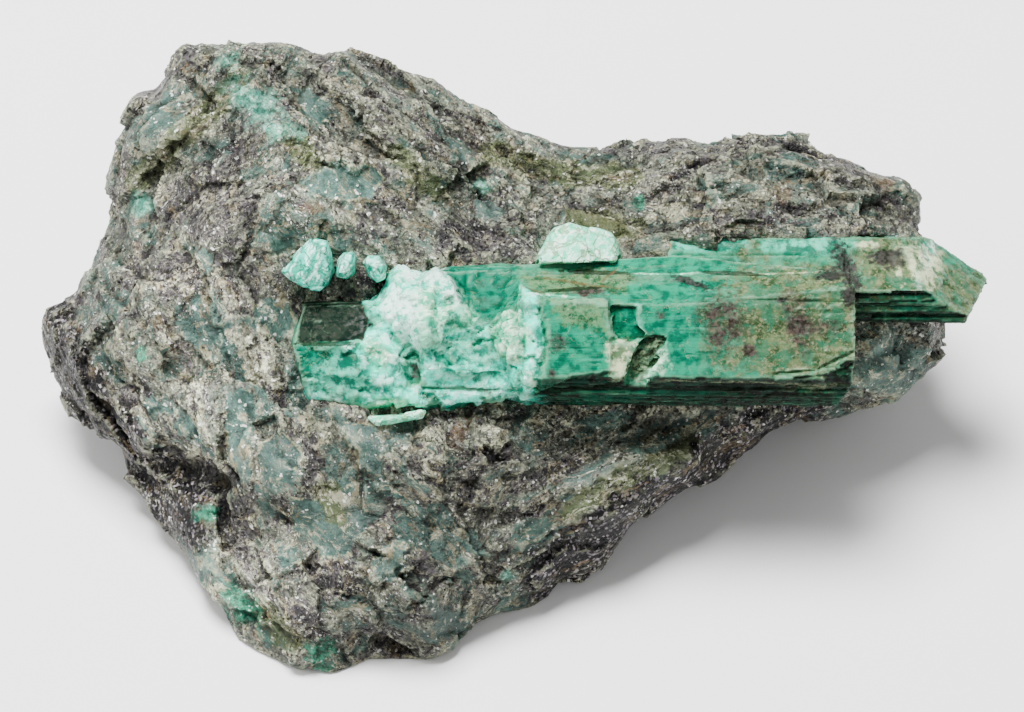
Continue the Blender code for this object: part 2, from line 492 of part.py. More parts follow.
def main():
    clear_scene()
    schist = finish("schist", (0.11, 0.12, 0.11), 0.75)
    emerald = finish("emerald", (0.04, 0.36, 0.22), 0.25)
    pale = finish("pale_beryl", (0.55, 0.72, 0.6), 0.45)
    mint = finish("mint_beryl", (0.3, 0.62, 0.48), 0.35)

    rock = build_matrix()
    cluster = build_cluster()
    pale_stub = stub("emerald_pale", PALE_OUTLINE, PALE_CROWN, rim=4.2, root=0.0)
    chips = [
        stub("emerald_chip_1", CHIP_1_OUTLINE, CHIP_1_CROWN, rim=7.2, root=3.4),
        stub("emerald_chip_2", CHIP_2_OUTLINE, CHIP_2_CROWN, rim=7.0, root=3.6),
        stub("emerald_chip_3", CHIP_3_OUTLINE, CHIP_3_CROWN, rim=6.4, root=3.4),
    ]
    sliver = stub("emerald_sliver", SLIVER_OUTLINE, SLIVER_CROWN, rim=8.6, root=5.4)
    beds = [inflated(crystal, POCKET_GAP * MM) for crystal in (pale_stub, sliver, *chips)]
    for room in cluster_room():
        apply_modifier(pale_stub, "BOOLEAN", object=room, operation="DIFFERENCE", solver="EXACT")
        beds.append(room)
    for bed in beds:
        combine(rock, bed, "DIFFERENCE")

    for piece, material in ((rock, schist), (cluster, emerald), (pale_stub, pale), (sliver, pale)):
        wear(piece, material)
    for chip in chips:
        wear(chip, mint)


main()
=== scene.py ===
import math

import bmesh
import bpy
import numpy as np
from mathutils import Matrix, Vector, noise
from mathutils.bvhtree import BVHTree


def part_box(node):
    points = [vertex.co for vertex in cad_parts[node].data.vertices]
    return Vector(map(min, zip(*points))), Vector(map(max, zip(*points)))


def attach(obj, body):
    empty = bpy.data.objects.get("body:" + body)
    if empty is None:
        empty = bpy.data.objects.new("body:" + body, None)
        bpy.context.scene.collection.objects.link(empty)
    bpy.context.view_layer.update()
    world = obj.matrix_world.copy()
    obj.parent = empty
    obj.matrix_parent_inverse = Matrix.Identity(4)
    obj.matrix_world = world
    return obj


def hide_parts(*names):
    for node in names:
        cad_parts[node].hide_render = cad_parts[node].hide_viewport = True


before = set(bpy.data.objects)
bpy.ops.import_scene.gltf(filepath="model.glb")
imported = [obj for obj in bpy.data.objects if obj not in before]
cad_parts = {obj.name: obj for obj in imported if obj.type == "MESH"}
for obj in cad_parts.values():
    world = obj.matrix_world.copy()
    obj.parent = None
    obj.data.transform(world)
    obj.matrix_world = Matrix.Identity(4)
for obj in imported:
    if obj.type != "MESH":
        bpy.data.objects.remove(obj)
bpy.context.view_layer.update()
bpy.ops.object.select_all(action="DESELECT")

mm = 0.001
# the show face, square to the camera: u to the right, v up the face, w out of it
showFace = {"elevation": 50.0, "height": 16.4, "offsetX": -0.57, "offsetY": -1.21}
lean = math.sin(math.radians(showFace["elevation"]))
rise = math.cos(math.radians(showFace["elevation"]))
showNormal = Vector((0.0, -rise, lean))

mergeDistance = 0.002  # corners nearer than this are one, in mm
farOff = 1e9  # past everything, in mm
farOutside = -2.0  # the value of a painted field well away from its patch
rimReach = -1.6  # a rim wanders where its field is above this
rippleGrain = (0.9, 2.1)  # how the finer octaves fade, and how much finer each is
foldGrain = (0.9, 2.2, 4, 1.0, 1.6)
swayOctaves = 4


def toShow(points):  # metres in the part's frame to u, v, w in mm
    x = points[:, 0] / mm - showFace["offsetX"]
    y = points[:, 1] / mm - showFace["offsetY"]
    z = points[:, 2] / mm - showFace["height"]
    return np.stack([x, y * lean + z * rise, z * lean - y * rise], axis=1)


def makeActive(piece):
    bpy.ops.object.select_all(action="DESELECT")
    piece.select_set(True)
    bpy.context.view_layer.objects.active = piece


def applyModifier(piece, kind, **settings):
    makeActive(piece)
    modifier = piece.modifiers.new(kind.title(), kind)
    for name, value in settings.items():
        setattr(modifier, name, value)
    bpy.ops.object.modifier_apply(modifier=modifier.name)


def smoothShaded(piece, degrees):
    makeActive(piece)
    bpy.ops.object.shade_smooth_by_angle(angle=math.radians(degrees))


def copyOfNode(node, name):
    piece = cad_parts[node].copy()
    piece.data = piece.data.copy()
    for key in list(piece.keys()):
        del piece[key]
    piece.parent = None
    piece.name = name
    piece.data.name = name
    piece.data.materials.clear()
    bpy.context.scene.collection.objects.link(piece)
    body = bmesh.new()
    body.from_mesh(piece.data)
    bmesh.ops.remove_doubles(body, verts=body.verts, dist=mergeDistance * mm)
    body.to_mesh(piece.data)
    body.free()
    return piece


def vectorsOf(rows, name):
    found = np.empty(len(rows) * 3, np.float32)
    rows.foreach_get(name, found)
    return found.reshape(-1, 3).astype(float)


def places(piece):
    return vectorsOf(piece.data.vertices, "co")


def normals(piece):
    return vectorsOf(piece.data.vertex_normals, "vector")


def setPlaces(piece, found):
    piece.data.vertices.foreach_set("co", found.astype(np.float32).ravel())
    piece.data.update()


def setField(piece, name, values):
    field = piece.data.attributes.new(name, "FLOAT", "POINT")
    field.data.foreach_set("value", np.asarray(values, np.float32))


def setVectors(piece, name, values):
    field = piece.data.attributes.new(name, "FLOAT_VECTOR", "POINT")
    field.data.foreach_set("vector", np.asarray(values, np.float32).ravel())


def smoothStep(low, high, value):
    share = np.clip((value - low) / (high - low), 0.0, 1.0)
    return share * share * (3.0 - 2.0 * share)


def evened(piece, values, rounds):  # each value becomes the mean of its neighbours', again and again
    ends = np.empty(len(piece.data.edges) * 2, np.int32)
    piece.data.edges.foreach_get("vertices", ends)
    a, b = ends[0::2], ends[1::2]
    count = len(piece.data.vertices)
    degree = np.bincount(a, minlength=count) + np.bincount(b, minlength=count)
    for _ in range(rounds):
        total = [np.bincount(a, column[b], count) + np.bincount(b, column[a], count) for column in values.T]
        values = np.stack(total, axis=1) / degree[:, None]
    return values


def shiftOf(seed, second=1.3, third=0.7):
    return Vector((seed, second * seed, third * seed))


def chips(points, size, lift, tilt, seed):  # broken rock: each cell is a flat chip, leaning its own way
    shift = shiftOf(seed, 1.7, 0.6)
    levelShift = Vector((0.3, 0.2, 0.1))
    levelSpread, leanSpread = 3.1, 2.3
    half = Vector((0.5, 0.5, 0.5))
    heights = np.empty(len(points))
    for i, point in enumerate(points):
        sample = Vector(point) / size + shift
        centre = noise.voronoi(sample)[1][0]
        leaning = noise.cell_vector(centre * leanSpread) - half
        level = noise.cell(centre * levelSpread + levelShift)
        heights[i] = lift * level + 2.0 * tilt * size * (sample - centre).dot(leaning)
    return heights


def scoops(points, size, depth, seed):  # shallow bowls that meet in sharp ridges, the way glass breaks
    shift = shiftOf(seed, 1.9, 0.8)
    middle = 0.25
    near = [noise.voronoi(Vector(point) / size + shift)[0][0] for point in points]
    return np.array([depth * (distance ** 2 - middle) for distance in near])


def ripple(points, size, seed, octaves):
    shift = shiftOf(seed)
    return np.array([noise.fractal(Vector(point) / size + shift, *rippleGrain, octaves) for point in points])


def rippled(points, size, seeds):  # one ripple for each axis
    return np.stack([ripple(points, size, seed, swayOctaves) for seed in seeds], axis=1)


def folds(points, size, seed):  # sharp crests between rounded dips
    shift = shiftOf(seed)
    fractal = noise.ridged_multi_fractal
    return np.array([fractal(Vector(point) / size + shift, *foldGrain) for point in points])


def patchField(show, patches):  # 1 in the middle of a patch, 0 at its rim, below 0 outside
    field = np.full(len(show), farOutside)
    for u, v, across, up, degrees in patches:
        turn = math.radians(degrees)
        du, dv = show[:, 0] - u, show[:, 1] - v
        a = (du * math.cos(turn) + dv * math.sin(turn)) / across
        b = (dv * math.cos(turn) - du * math.sin(turn)) / up
        field = np.maximum(field, 1.0 - np.sqrt(a * a + b * b))
    return field


def toStretch(show, start, end):  # how far off a straight stretch of a line each point is
    (u0, v0), (u1, v1) = start, end
    du, dv = u1 - u0, v1 - v0
    share = np.clip(((show[:, 0] - u0) * du + (show[:, 1] - v0) * dv) / (du * du + dv * dv), 0.0, 1.0)
    return np.hypot(show[:, 0] - u0 - share * du, show[:, 1] - v0 - share * dv)


def zoneField(show, corners):  # mm inside a cornered outline on the show face, below 0 outside
    u, v = show[:, 0], show[:, 1]
    nearest = np.full(len(show), farOff)
    inside = np.zeros(len(show), bool)
    for start, end in zip(corners, corners[1:] + corners[:1]):
        nearest = np.minimum(nearest, toStretch(show, start, end))
        (u0, v0), (u1, v1) = start, end
        crossing = (v0 > v) != (v1 > v)
        inside ^= crossing & (u < u0 + (v - v0) * (u1 - u0) / ((v1 - v0) or 1.0 / farOff))
    return np.clip(np.where(inside, nearest, -nearest), farOutside, -farOutside)


def strokeField(show, points, width):  # 1 on a line over the show face, 0 at its width, below 0 outside
    nearest = np.minimum.reduce([toStretch(show, start, end) for start, end in zip(points, points[1:])])
    return np.maximum(1.0 - nearest / width, farOutside)


def strokesField(show, lines, width):
    return np.maximum.reduce([strokeField(show, line, width) for line in lines])


def zonesField(show, outlines):
    return np.maximum.reduce([zoneField(show, corners) for corners in outlines])


def ledgeField(show, points, reach, sway, sharp=0.25):  # up on the left of a line, down on its right
    nearest, sided = np.full(len(show), farOff), np.zeros(len(show))
    for (u0, v0), (u1, v1) in zip(points, points[1:]):
        du, dv = u1 - u0, v1 - v0
        length = math.hypot(du, dv)
        share = np.clip(((show[:, 0] - u0) * du + (show[:, 1] - v0) * dv) / length ** 2, 0.0, 1.0)
        distance = np.hypot(show[:, 0] - u0 - share * du, show[:, 1] - v0 - share * dv)
        side = (du * (show[:, 1] - v0) - dv * (show[:, 0] - u0)) / length
        nearer = distance < nearest
        nearest, sided = np.where(nearer, distance, nearest), np.where(nearer, side, sided)
    return np.tanh((sided + sway) / sharp) * np.exp(-nearest / reach)


def wandering(show, field, size, seed, amount=0.55):  # a painted field whose rim is no longer an ellipse
    near = np.where(field > rimReach)[0]
    field = field.copy()
    field[near] += amount * ripple(show[near], size, seed, swayOctaves)
    return field


def treeOf(pieces):
    corners, faces = [], []
    for piece in pieces:
        start = len(corners)
        corners += [tuple(v.co) for v in piece.data.vertices]
        faces += [[start + i for i in face.vertices] for face in piece.data.polygons]
    return BVHTree.FromPolygons(corners, faces)


# shader helpers
def feed(tree, socket, value):
    if hasattr(value, "is_output"):
        tree.links.new(value, socket)
    elif isinstance(value, tuple) and len(value) == 3 and len(socket.default_value) == 4:
        socket.default_value = (*value, 1.0)
    else:
        socket.default_value = value


def addNode(tree, kind, settings=(), **values):
    made = tree.nodes.new("ShaderNode" + kind)
    for name, value in dict(settings).items():
        setattr(made, name, value)
    for name, value in values.items():
        feed(tree, made.inputs[name], value)
    return made


def fieldOf(tree, name):
    return addNode(tree, "Attribute", {"attribute_name": name}).outputs["Fac"]


def sums(tree, operation, *values):
    made = addNode(tree, "Math", {"operation": operation})
    for socket, value in zip(made.inputs, values):
        feed(tree, socket, value)
    return made.outputs[0]


def vectorSums(tree, operation, *values, output="Vector"):
    made = addNode(tree, "VectorMath", {"operation": operation})
    for socket, value in zip(made.inputs, values):
        feed(tree, socket, value)
    return made.outputs[output]


def ramp(tree, value, low, high, start=0.0, end=1.0, smooth=True):
    made = addNode(tree, "MapRange", {"interpolation_type": "SMOOTHSTEP" if smooth else "LINEAR"})
    numbers = {"Value": value, "From Min": low, "From Max": high, "To Min": start, "To Max": end}
    for name, number in numbers.items():
        feed(tree, made.inputs[name], number)
    return made.outputs["Result"]


def blend(tree, share, first, second, how="MIX"):
    made = addNode(tree, "Mix", {"data_type": "RGBA", "blend_type": how})
    for index, value in ((0, share), (6, first), (7, second)):
        feed(tree, made.inputs[index], value)
    return made.outputs[2]


def showCoordinates(tree):  # Object coordinates turned square to the show face, in mm
    place = addNode(tree, "TexCoord").outputs["Object"]
    start = tuple(toShow(np.zeros((1, 3)))[0])
    turn = (math.radians(showFace["elevation"] - 90.0), 0.0, 0.0)
    perMetre = 1000.0
    made = addNode(tree, "Mapping", Vector=place, Location=start, Rotation=turn, Scale=(perMetre,) * 3)
    return made.outputs["Vector"]


def turned(tree, vector, degrees, scale):
    turn = (0.0, 0.0, math.radians(degrees))
    made = addNode(tree, "Mapping", {"vector_type": "TEXTURE"}, Vector=vector, Rotation=turn, Scale=scale)
    return made.outputs["Vector"]


def cloud(tree, vector, scale, detail, rough=0.6, offset=None):
    if offset is not None:
        vector = vectorSums(tree, "ADD", vector, offset)
    made = addNode(tree, "TexNoise", Vector=vector, Scale=scale, Detail=detail, Roughness=rough)
    return made.outputs["Fac"]


def tones(tree, kind, vector, **settings):  # a pattern's channels, and its colour
    made = addNode(tree, kind, Vector=vector, **settings)
    return addNode(tree, "SeparateColor", Color=made.outputs["Color"]).outputs, made.outputs["Color"]


def seamsOf(tree, vector, scale):  # how far each place is from the seam between two blocks
    made = addNode(tree, "TexVoronoi", {"feature": "DISTANCE_TO_EDGE"}, Vector=vector, Scale=scale)
    return made.outputs["Distance"]


def centred(tree, colour):
    return vectorSums(tree, "SUBTRACT", colour, (0.5, 0.5, 0.5))


def bentBy(tree, vector, colour, amount):
    return vectorSums(tree, "ADD", vector, vectorSums(tree, "MULTIPLY", colour, (amount, amount, amount)))


def newGroup(name, inputs, outputs):
    group = bpy.data.node_groups.new(name, "ShaderNodeTree")
    for label, kind in inputs.items():
        group.interface.new_socket(label, in_out="INPUT", socket_type="NodeSocket" + kind)
    for label in outputs:
        group.interface.new_socket(label, in_out="OUTPUT", socket_type="NodeSocketFloat")
    return group, group.nodes.new("NodeGroupInput").outputs, group.nodes.new("NodeGroupOutput").inputs


def useGroup(tree, group, **values):
    return addNode(tree, "Group", {"node_tree": group}, **values).outputs


def newMaterial(name, **values):
    made = bpy.data.materials.new(name)
    made.use_nodes = True
    shader = made.node_tree.nodes["Principled BSDF"]
    for key, value in values.items():
        feed(made.node_tree, shader.inputs[key.replace("_", " ")], value)
    return made, made.node_tree, shader


def bumped(tree, shader, height, distance):
    made = addNode(tree, "Bump", Height=height, Distance=distance)
    tree.links.new(made.outputs["Normal"], shader.inputs["Normal"])


# how far the rim of every painted patch wanders, here in and there out, in small angular bites
rimWander = {"detail": 3.0, "roughness": 0.7, "bites": 0.35}
raggedRim, given, result = newGroup("raggedRim", {"Vector": "Vector", "Scale": "Float"}, ["Shift"])
rim = cloud(raggedRim, given["Vector"], given["Scale"], rimWander["detail"], rimWander["roughness"])
bitten = vectorSums(raggedRim, "ADD", given["Vector"], rim)
biteTone, _ = tones(raggedRim, "TexVoronoi", bitten, Scale=given["Scale"])
biteShift = sums(raggedRim, "SUBTRACT", biteTone["Red"], 0.5)
biteShift = sums(raggedRim, "MULTIPLY", biteShift, rimWander["bites"])
rimShift = sums(raggedRim, "ADD", sums(raggedRim, "SUBTRACT", rim, 0.5), biteShift)
raggedRim.links.new(rimShift, result["Shift"])

# a painted field becomes a patch with that rim
inputs = {"Field": "Float", "Shift": "Float", "Ragged": "Float", "Soft": "Float"}
paintedPatch, given, result = newGroup("paintedPatch", inputs, ["Mask"])
raised = sums(paintedPatch, "MULTIPLY_ADD", given["Shift"], given["Ragged"], given["Field"])
lower = sums(paintedPatch, "MULTIPLY", given["Soft"], -1.0)
paintedPatch.links.new(ramp(paintedPatch, raised, lower, given["Soft"]), result["Mask"])

# flat flakes lying every way: the height leans each cell, and Glint picks a few cells that are painted as
# glints (painted highlights)
inputs = {"Vector": "Vector", "Scale": "Float", "Share": "Float"}
micaFlakes, given, result = newGroup("micaFlakes", inputs, ["Height", "Tone", "Glint"])
cells = addNode(micaFlakes, "TexVoronoi", Vector=given["Vector"], Scale=given["Scale"])
inCell = vectorSums(micaFlakes, "SUBTRACT", given["Vector"], cells.outputs["Position"])
leanOf = centred(micaFlakes, cells.outputs["Color"])
parts = addNode(micaFlakes, "SeparateColor", Color=cells.outputs["Color"]).outputs
micaFlakes.links.new(vectorSums(micaFlakes, "DOT_PRODUCT", inCell, leanOf, output="Value"), result["Height"])
micaFlakes.links.new(parts["Green"], result["Tone"])
micaFlakes.links.new(sums(micaFlakes, "LESS_THAN", parts["Blue"], given["Share"]), result["Glint"])

# thin cracks that wander between blocks, and fade out here and there
crackWander = {"scale": 0.8, "detail": 3.0, "roughness": 0.65, "amount": 3.4, "shown": (0.44, 0.56)}
inputs = {"Vector": "Vector", "Scale": "Float", "Width": "Float"}
hairCracks, given, result = newGroup("hairCracks", inputs, ["Line"])
sway = addNode(hairCracks, "TexNoise", Vector=given["Vector"], Scale=crackWander["scale"],
               Detail=crackWander["detail"], Roughness=crackWander["roughness"]).outputs
swayed = bentBy(hairCracks, given["Vector"], centred(hairCracks, sway["Color"]), crackWander["amount"])
line = ramp(hairCracks, seamsOf(hairCracks, swayed, given["Scale"]), 0.0, given["Width"], 1.0, 0.0)
shown = ramp(hairCracks, sway["Fac"], *crackWander["shown"])
hairCracks.links.new(sums(hairCracks, "MULTIPLY", line, shown), result["Line"])


def maskOf(tree, name, shift, ragged, soft):
    painted = useGroup(tree, paintedPatch, Field=fieldOf(tree, name), Shift=shift, Ragged=ragged, Soft=soft)
    return painted["Mask"]


# the schist
schist = {
    "voxel": 0.34,
    "evenRounds": 5,
    "foot": (0.2, 1.2),  # the flat foot stays flat: the relief starts above it, between these mm
    "chips": [(4.4, 0.26, 0.20, 5.0), (1.7, 0.08, 0.15, 17.0), (0.8, 0.03, 0.10, 23.0)],
    "folds": [(7.0, 0.15, 41.0), (2.2, 0.04, 47.0)],
    "stretch": 1.5,
    "limits": (-1.6, 1.3),  # how far in and out the relief may go, in mm
    "mostFaces": 194000,
    "smoothAngle": 32.0,
    "gapReach": 1.0,  # how far out from a crystal the rock is drawn to it, in mm
    "gapSink": 0.12,
    "gapRim": (0.55, 1.0),
    "front": (-16.0, -10.0),  # how far back the placed forms fade out
    "grainBlur": 9.0,
    "leastShare": 0.08,
    "patchSharp": 2.0,
    "patchCalm": 0.6,  # how much flatter the relief is on patches, slabs and thin layers
    "slabCalm": 0.85,
    "slabRim": (-0.4, 0.4),
    "foliatedCalm": 0.55,
    "foliatedRim": (-0.3, 0.3),
    "jag": (1.3, 29.0, 3),  # the small breaks along every placed form
    "ledgeJag": 0.8,
    "ledgeShare": 0.8,
    "pitJag": 0.35,
    "pitRim": (0.0, 0.9),
    "riseJag": 0.45,
    "riseRim": (-0.06, 0.12),
    "flowStretch": 1.6,
    "flowSway": 0.75,
    "foliatedStretch": 1.4,
    "foliatedSteady": 0.4,
    "swing": 5.0,
    "swingSize": 7.0,
    "swingSeeds": (61.0, 67.0, 73.0),
    "swaySize": 3.2,
    "swaySeeds": (71.0, 83.0, 97.0),
    "hollowRounds": 6,
    "hollowDepth": 0.22,
    "patches": ["teal", "cream", "dark", "mint", "green", "rust", "glass", "deep", "light"],
    "patchWander": (2.4, 3.0, 5.1),
    "frontOnly": ("mint", "green", "rust"),
    "frontDepth": -14.0,
    "rimWidths": (3.0, 3.4),
    "oliveWidth": 1.5,
    "wander": {"rim": (1.8, 51.0, 0.35), "olive": (1.8, 57.0, 0.45), "slab": (1.1, 59.0, 0.30)},
    "grain": [  # place on the show face and direction of the layers there
        ((-10, 22), -38), ((-32, 22), 48), ((22, 17), -2), ((-38, -2), -52), ((-24, -4), -72),
        ((-18, -24), -40), ((12, -14), 26),
    ],
    "tip": [(-47, 3.6, 4.2, 4.6, 0)],
    "tipReach": 1.15,
    "tipRim": (0.0, 0.7),
    # painted shade: patches where the schist is made darker, where it lies in shade
    "deep": [
        (21, 20.6, 13, 2, -2), (36, 16.4, 5, 2.4, -25), (-0.6, -14, 14, 9, 20), (-10, -26, 12, 5, 15),
        (-42.6, -4, 3, 9, 30), (15, -8, 10, 3.6, 24), (-2, 13, 7, 2, -12), (-30, -12, 4, 2, -20),
    ],
    # painted light: patches where the schist is made lighter, where it is lit
    "light": [(-19, 17, 9, 5, -20), (-30.6, -4, 9, 8, 0), (-32.6, 8, 6, 5, 0), (-25, -22, 6, 5, 0)],
    "ledges": [  # line on the show face, height, how far off it dies out
        ([(-29.7, -12.9), (-29.2, -16), (-28.9, -20.4)], -0.5, 2.2),
        ([(-40, -6.2), (-37.4, -10.4), (-33.8, -13.6)], 0.45, 2),
        ([(-28.4, 29.8), (-31.4, 25.2), (-33.4, 21.4), (-38.4, 16.4)], -0.55, 2),
        ([(-24.6, 29.4), (-29, 24.6), (-32, 20)], 0.4, 1.6),
        ([(-23.7, -2.7), (-25.6, -4.7), (-26.4, -8)], 0.35, 1.6),
        ([(-21, 29), (-17, 25.4), (-13, 21.4), (-9, 19)], 0.5, 2.4),
        ([(-24.6, 27.4), (-20.6, 23.4), (-17.4, 20.4)], -0.35, 2),
        ([(-10.6, 21.8), (-5, 17.6), (-0.6, 14.8)], 0.45, 2.2),
        ([(-14.6, 26.6), (-6, 22.6), (2, 20.2)], 0.35, 2),
        ([(-5.6, -9.2), (-3.2, -10.6), (1.4, -6.2)], -0.35, 1.4),
        ([(-1.4, -11.6), (6, -11), (11.6, -8)], 0.25, 2),
        ([(-6, -14.6), (1.6, -15.6), (9.6, -12), (16, -8.4)], 0.3, 2.2),
        ([(-9.4, -24), (-4.4, -20.4), (2.6, -18.6), (8.6, -15)], 0.35, 2.2),
        ([(3, -7), (10.6, -7.2), (18.6, -5.4)], 0.25, 1.6),
        ([(-19, 8.6), (-11.4, 8.6), (-4.4, 9.6)], 0.35, 1.4),
        ([(-26, 9), (-22, 11.8), (-16, 12.6), (-9, 11.6)], 0.2, 1.8),
        ([(-22, -20.6), (-16.6, -20.8), (-12.6, -22.6)], 0.35, 1.8),
        ([(-16.4, -8.4), (-13.4, -13.4), (-9.6, -15.4)], 0.4, 2),
        ([(-24, -8.8), (-20.4, -12), (-15.4, -12.6)], -0.4, 1.8),
        ([(10, 19.6), (20, 19.4), (30, 18.6), (38, 16.4)], 0.45, 2.2),
        ([(6, 16.2), (16, 15.8), (26, 15.6), (36, 14.6)], 0.35, 1.6),
        ([(-40, 6), (-36, 2), (-34, -3)], -0.45, 2.4), ([(-34, 12.6), (-30.4, 8), (-29.6, 3)], 0.4, 2.4),
        ([(-31, -23), (-25, -26.6), (-19, -28)], 0.4, 2), ([(35, 0.4), (40, -1.4), (43, -1.6)], 0.4, 1.8),
        ([(34, -3.4), (39, -4.6)], 0.4, 1.6),
    ],
    "pits": [  # line on the show face, half width, depth
        ([(-34, -10.4), (-31.6, -11.2), (-28.6, -12.6)], 1.7, 0.8),
        ([(-32.2, 27.4), (-30.6, 25.4)], 0.8, 0.9), ([(-36.2, 15.2), (-36, 14.2)], 0.35, 0.6),
        ([(-13.2, -28.4), (-11.6, -29.2), (-9.8, -29.6)], 1.1, 0.9),
        ([(-3.4, 23.5), (-1.2, 22.7)], 0.35, 0.4), ([(18.2, 19), (18.8, 17.2)], 0.35, 0.5),
        ([(8.6, 22.6), (8.9, 20.8)], 0.35, 0.4), ([(-29, -14.4), (-28.6, -19)], 0.7, 0.4),
        ([(19, 23.8), (25, 23.6), (32.8, 22.4)], 2.8, 1.3),
    ],
    "rises": [  # place, half sizes, turn, height: blocks and flakes standing out of the schist
        (-12.1, -20.3, 2.6, 1.1, 46, 0.4), (-2.4, -8.1, 2.1, 1.5, 12, 0.35),
        (-7.8, -9.7, 1.4, 2.7, 0, 0.3), (-1.2, -8.1, 0.8, 1.2, -30, 0.25), (-27, 2.6, 2.2, 1.6, -20, 0.25),
        (-15.6, 19.4, 1.4, 0.8, -20, 0.3), (-23.6, -0.6, 2.4, 2.2, 0, 0.25),
        (-39, 1.2, 1.4, 1.4, 30, 0.25), (-19.4, -12.2, 2, 0.9, -10, 0.3), (18.4, 18.4, 0.7, 0.6, 0, 0.45),
        (-15.9, 18.6, 0.8, 0.5, -30, 0.35), (-1.6, 17.4, 0.9, 0.6, -30, 0.3),
        (9, 13.4, 3.2, 0.7, -18, 0.4), (-32.8, -5.2, 0.9, 3.4, 12, 0.25), (-0.9, -21.6, 0.9, 0.6, 30, 0.3),
    ],
    "mint": [
        (-25.4, 24.8, 3.4, 1.6, -38), (-23.8, 22.6, 1.6, 1, -40), (-28.6, 29.4, 1.3, 0.8, 20),
        (-37.2, 15, 1, 1.3, 60), (-3, 17, 0.9, 0.5, -30), (-0.5, -21.8, 0.8, 0.6, 30),
    ],
    "green": [
        (-26.8, -25, 1.3, 2.6, 40), (-19.4, -29.3, 2, 1.1, -20), (-18.6, -31, 1, 0.8, 0),
        (-36.8, 0.1, 0.7, 0.8, 0), (12.7, 15.3, 0.6, 0.7, 0), (-30.4, -15.6, 1.2, 0.8, 0),
    ],
    "teal": [
        (-18.4, -17, 4.4, 3.6, -35), (-24, -12.4, 2.4, 1.8, -30), (-26.8, -6.6, 1.3, 4.8, 12),
        (-35, 25.5, 3.2, 2.4, 50), (-20, 25, 1.6, 1.8, -40), (-23.3, 11.6, 1.8, 1.5, 0),
        (-17.4, 17.2, 3.6, 1.4, 0), (-12, -20.4, 1.4, 2.8, -40), (-23.6, 3.8, 2.6, 1.9, -20),
        (-18.6, 17.8, 2.6, 1.2, 15), (-30, -20, 2.4, 3.6, 20), (0.6, -26, 3, 2.2, 25),
        (-2, 14.4, 2, 1.6, -20), (-13, -8, 3.4, 2, 30), (-33, 23.4, 1.2, 3, 10), (3, -17, 3, 1.4, 20),
        (12, -12, 12, 4.2, 28), (-8, -27, 4, 2, 0), (8, -16, 4, 1.4, 30), (38, -2, 5, 3, 0),
    ],
    "slabs": [  # corners on the show face
        [(-22.2, -14.1), (-19.3, -14.1), (-15.4, -12.6), (-14.7, -15.3), (-13, -15.8), (-15.4, -18),
            (-16.1, -19.9), (-18.8, -19.9), (-21.7, -16.5)],
        [(-13.9, -21.4), (-12, -19.2), (-10.3, -18.2), (-10.4, -19.9), (-10.8, -21.4), (-12.5, -22.6),
            (-13.9, -21.7)],
        [(-28.6, -5.9), (-27.5, -4.9), (-25.8, -6.8), (-26.1, -9.2), (-25.8, -12.4), (-27, -12.4),
            (-28.2, -10)],
        [(-25.3, -8.8), (-22.7, -7.3), (-20.7, -9.7), (-21.4, -11.7), (-23.6, -12.4), (-25.1, -10.7)],
        [(-16.6, -6.6), (-12.2, -6.8), (-12.7, -9.2), (-15.4, -10), (-16.6, -8.5)],
        [(-34.8, -15.1), (-32.8, -13.6), (-29.9, -14.6), (-29.6, -17), (-31.4, -18), (-33.8, -17)],
        [(-25.6, -26.7), (-23.6, -26.2), (-21.7, -27.7), (-22.2, -29.4), (-24.6, -28.6)],
        [(-21, 17.2), (-19.2, 18.8), (-16.2, 19), (-13.9, 19), (-13, 17.7), (-14.1, 15.8), (-16.9, 15.4),
            (-20.5, 16.3)],
        [(-21.7, 26.2), (-20.5, 27.1), (-19.2, 25.9), (-18, 23.6), (-19.2, 23.2), (-21, 24.1)],
        [(-25.1, 12.6), (-22.8, 13.1), (-21.5, 12.4), (-21.5, 10.3), (-23.8, 9.9)],
        [(-25.8, 5), (-24, 5.8), (-22, 5.4), (-21.4, 2.6), (-23.4, 1.8), (-25.6, 2.6)],
    ],
    "cream": [
        (-24.6, -0.2, 3.2, 2.8, -20), (-31.8, -4.4, 1, 3.6, 12), (-19.2, -7, 2.8, 1.5, -15),
        (-28.2, 4.6, 1, 0.8, 0), (-7.8, -9.8, 1.5, 2.8, 0), (-2.4, -7.8, 2.2, 1.5, 10),
        (-16.6, 26.6, 1.6, 1, -38), (-11.8, 22.4, 2.8, 0.4, -8), (16, 14.4, 3.4, 1, -4),
        (11.6, -12.2, 6.4, 1.4, 33), (-34.6, 1.6, 3.6, 0.8, 30), (-17.6, -14, 3, 0.6, -10),
        (-37.6, 13.6, 1.6, 1.6, 0), (-31.6, -9.6, 1.2, 1.6, 0),
    ],
    "dark": [
        (-31.6, -11.2, 3.2, 1.5, -25), (-27.6, -17, 2, 4.6, -14), (-13, -29.8, 2.6, 1.6, 20),
        (-17.4, -21.4, 3.4, 1.4, -10), (-33, 8.4, 2.4, 2.6, 0), (-36.6, 26.4, 1.6, 3, -20),
        (-22, 24, 1.8, 1.8, 0), (-29, 15.6, 3, 3, 0), (-3, 11.6, 6, 1.6, -10), (4, -11.6, 5, 1, 22),
        (-14, 26, 1.6, 0.8, -38),
    ],
    "rim": [  # lines of the dark bands along the lower edges: dark mica, painted darker still as the shade on these down-turned faces
        [(-47, 3.6), (-45.4, 0.2), (-43.4, -3.6), (-40.6, -8), (-37, -11.6), (-32, -16)],
        [(4.2, -22.4), (9, -18.6), (14, -15.4), (19.4, -12.4), (24.6, -8.2), (28, -6)],
    ],
    "olive": [  # lines of the olive streaks
        [(-27.4, 28.2), (-30.2, 24.6), (-34, 20.8), (-37.6, 17.4)], [(-22.2, 22), (-20.4, 20)],
        [(-11, 19.8), (-7.6, 16.6)], [(-17.4, -15.6), (-18.4, -13.4)], [(6, -15.6), (12, -12), (17.6, -9)],
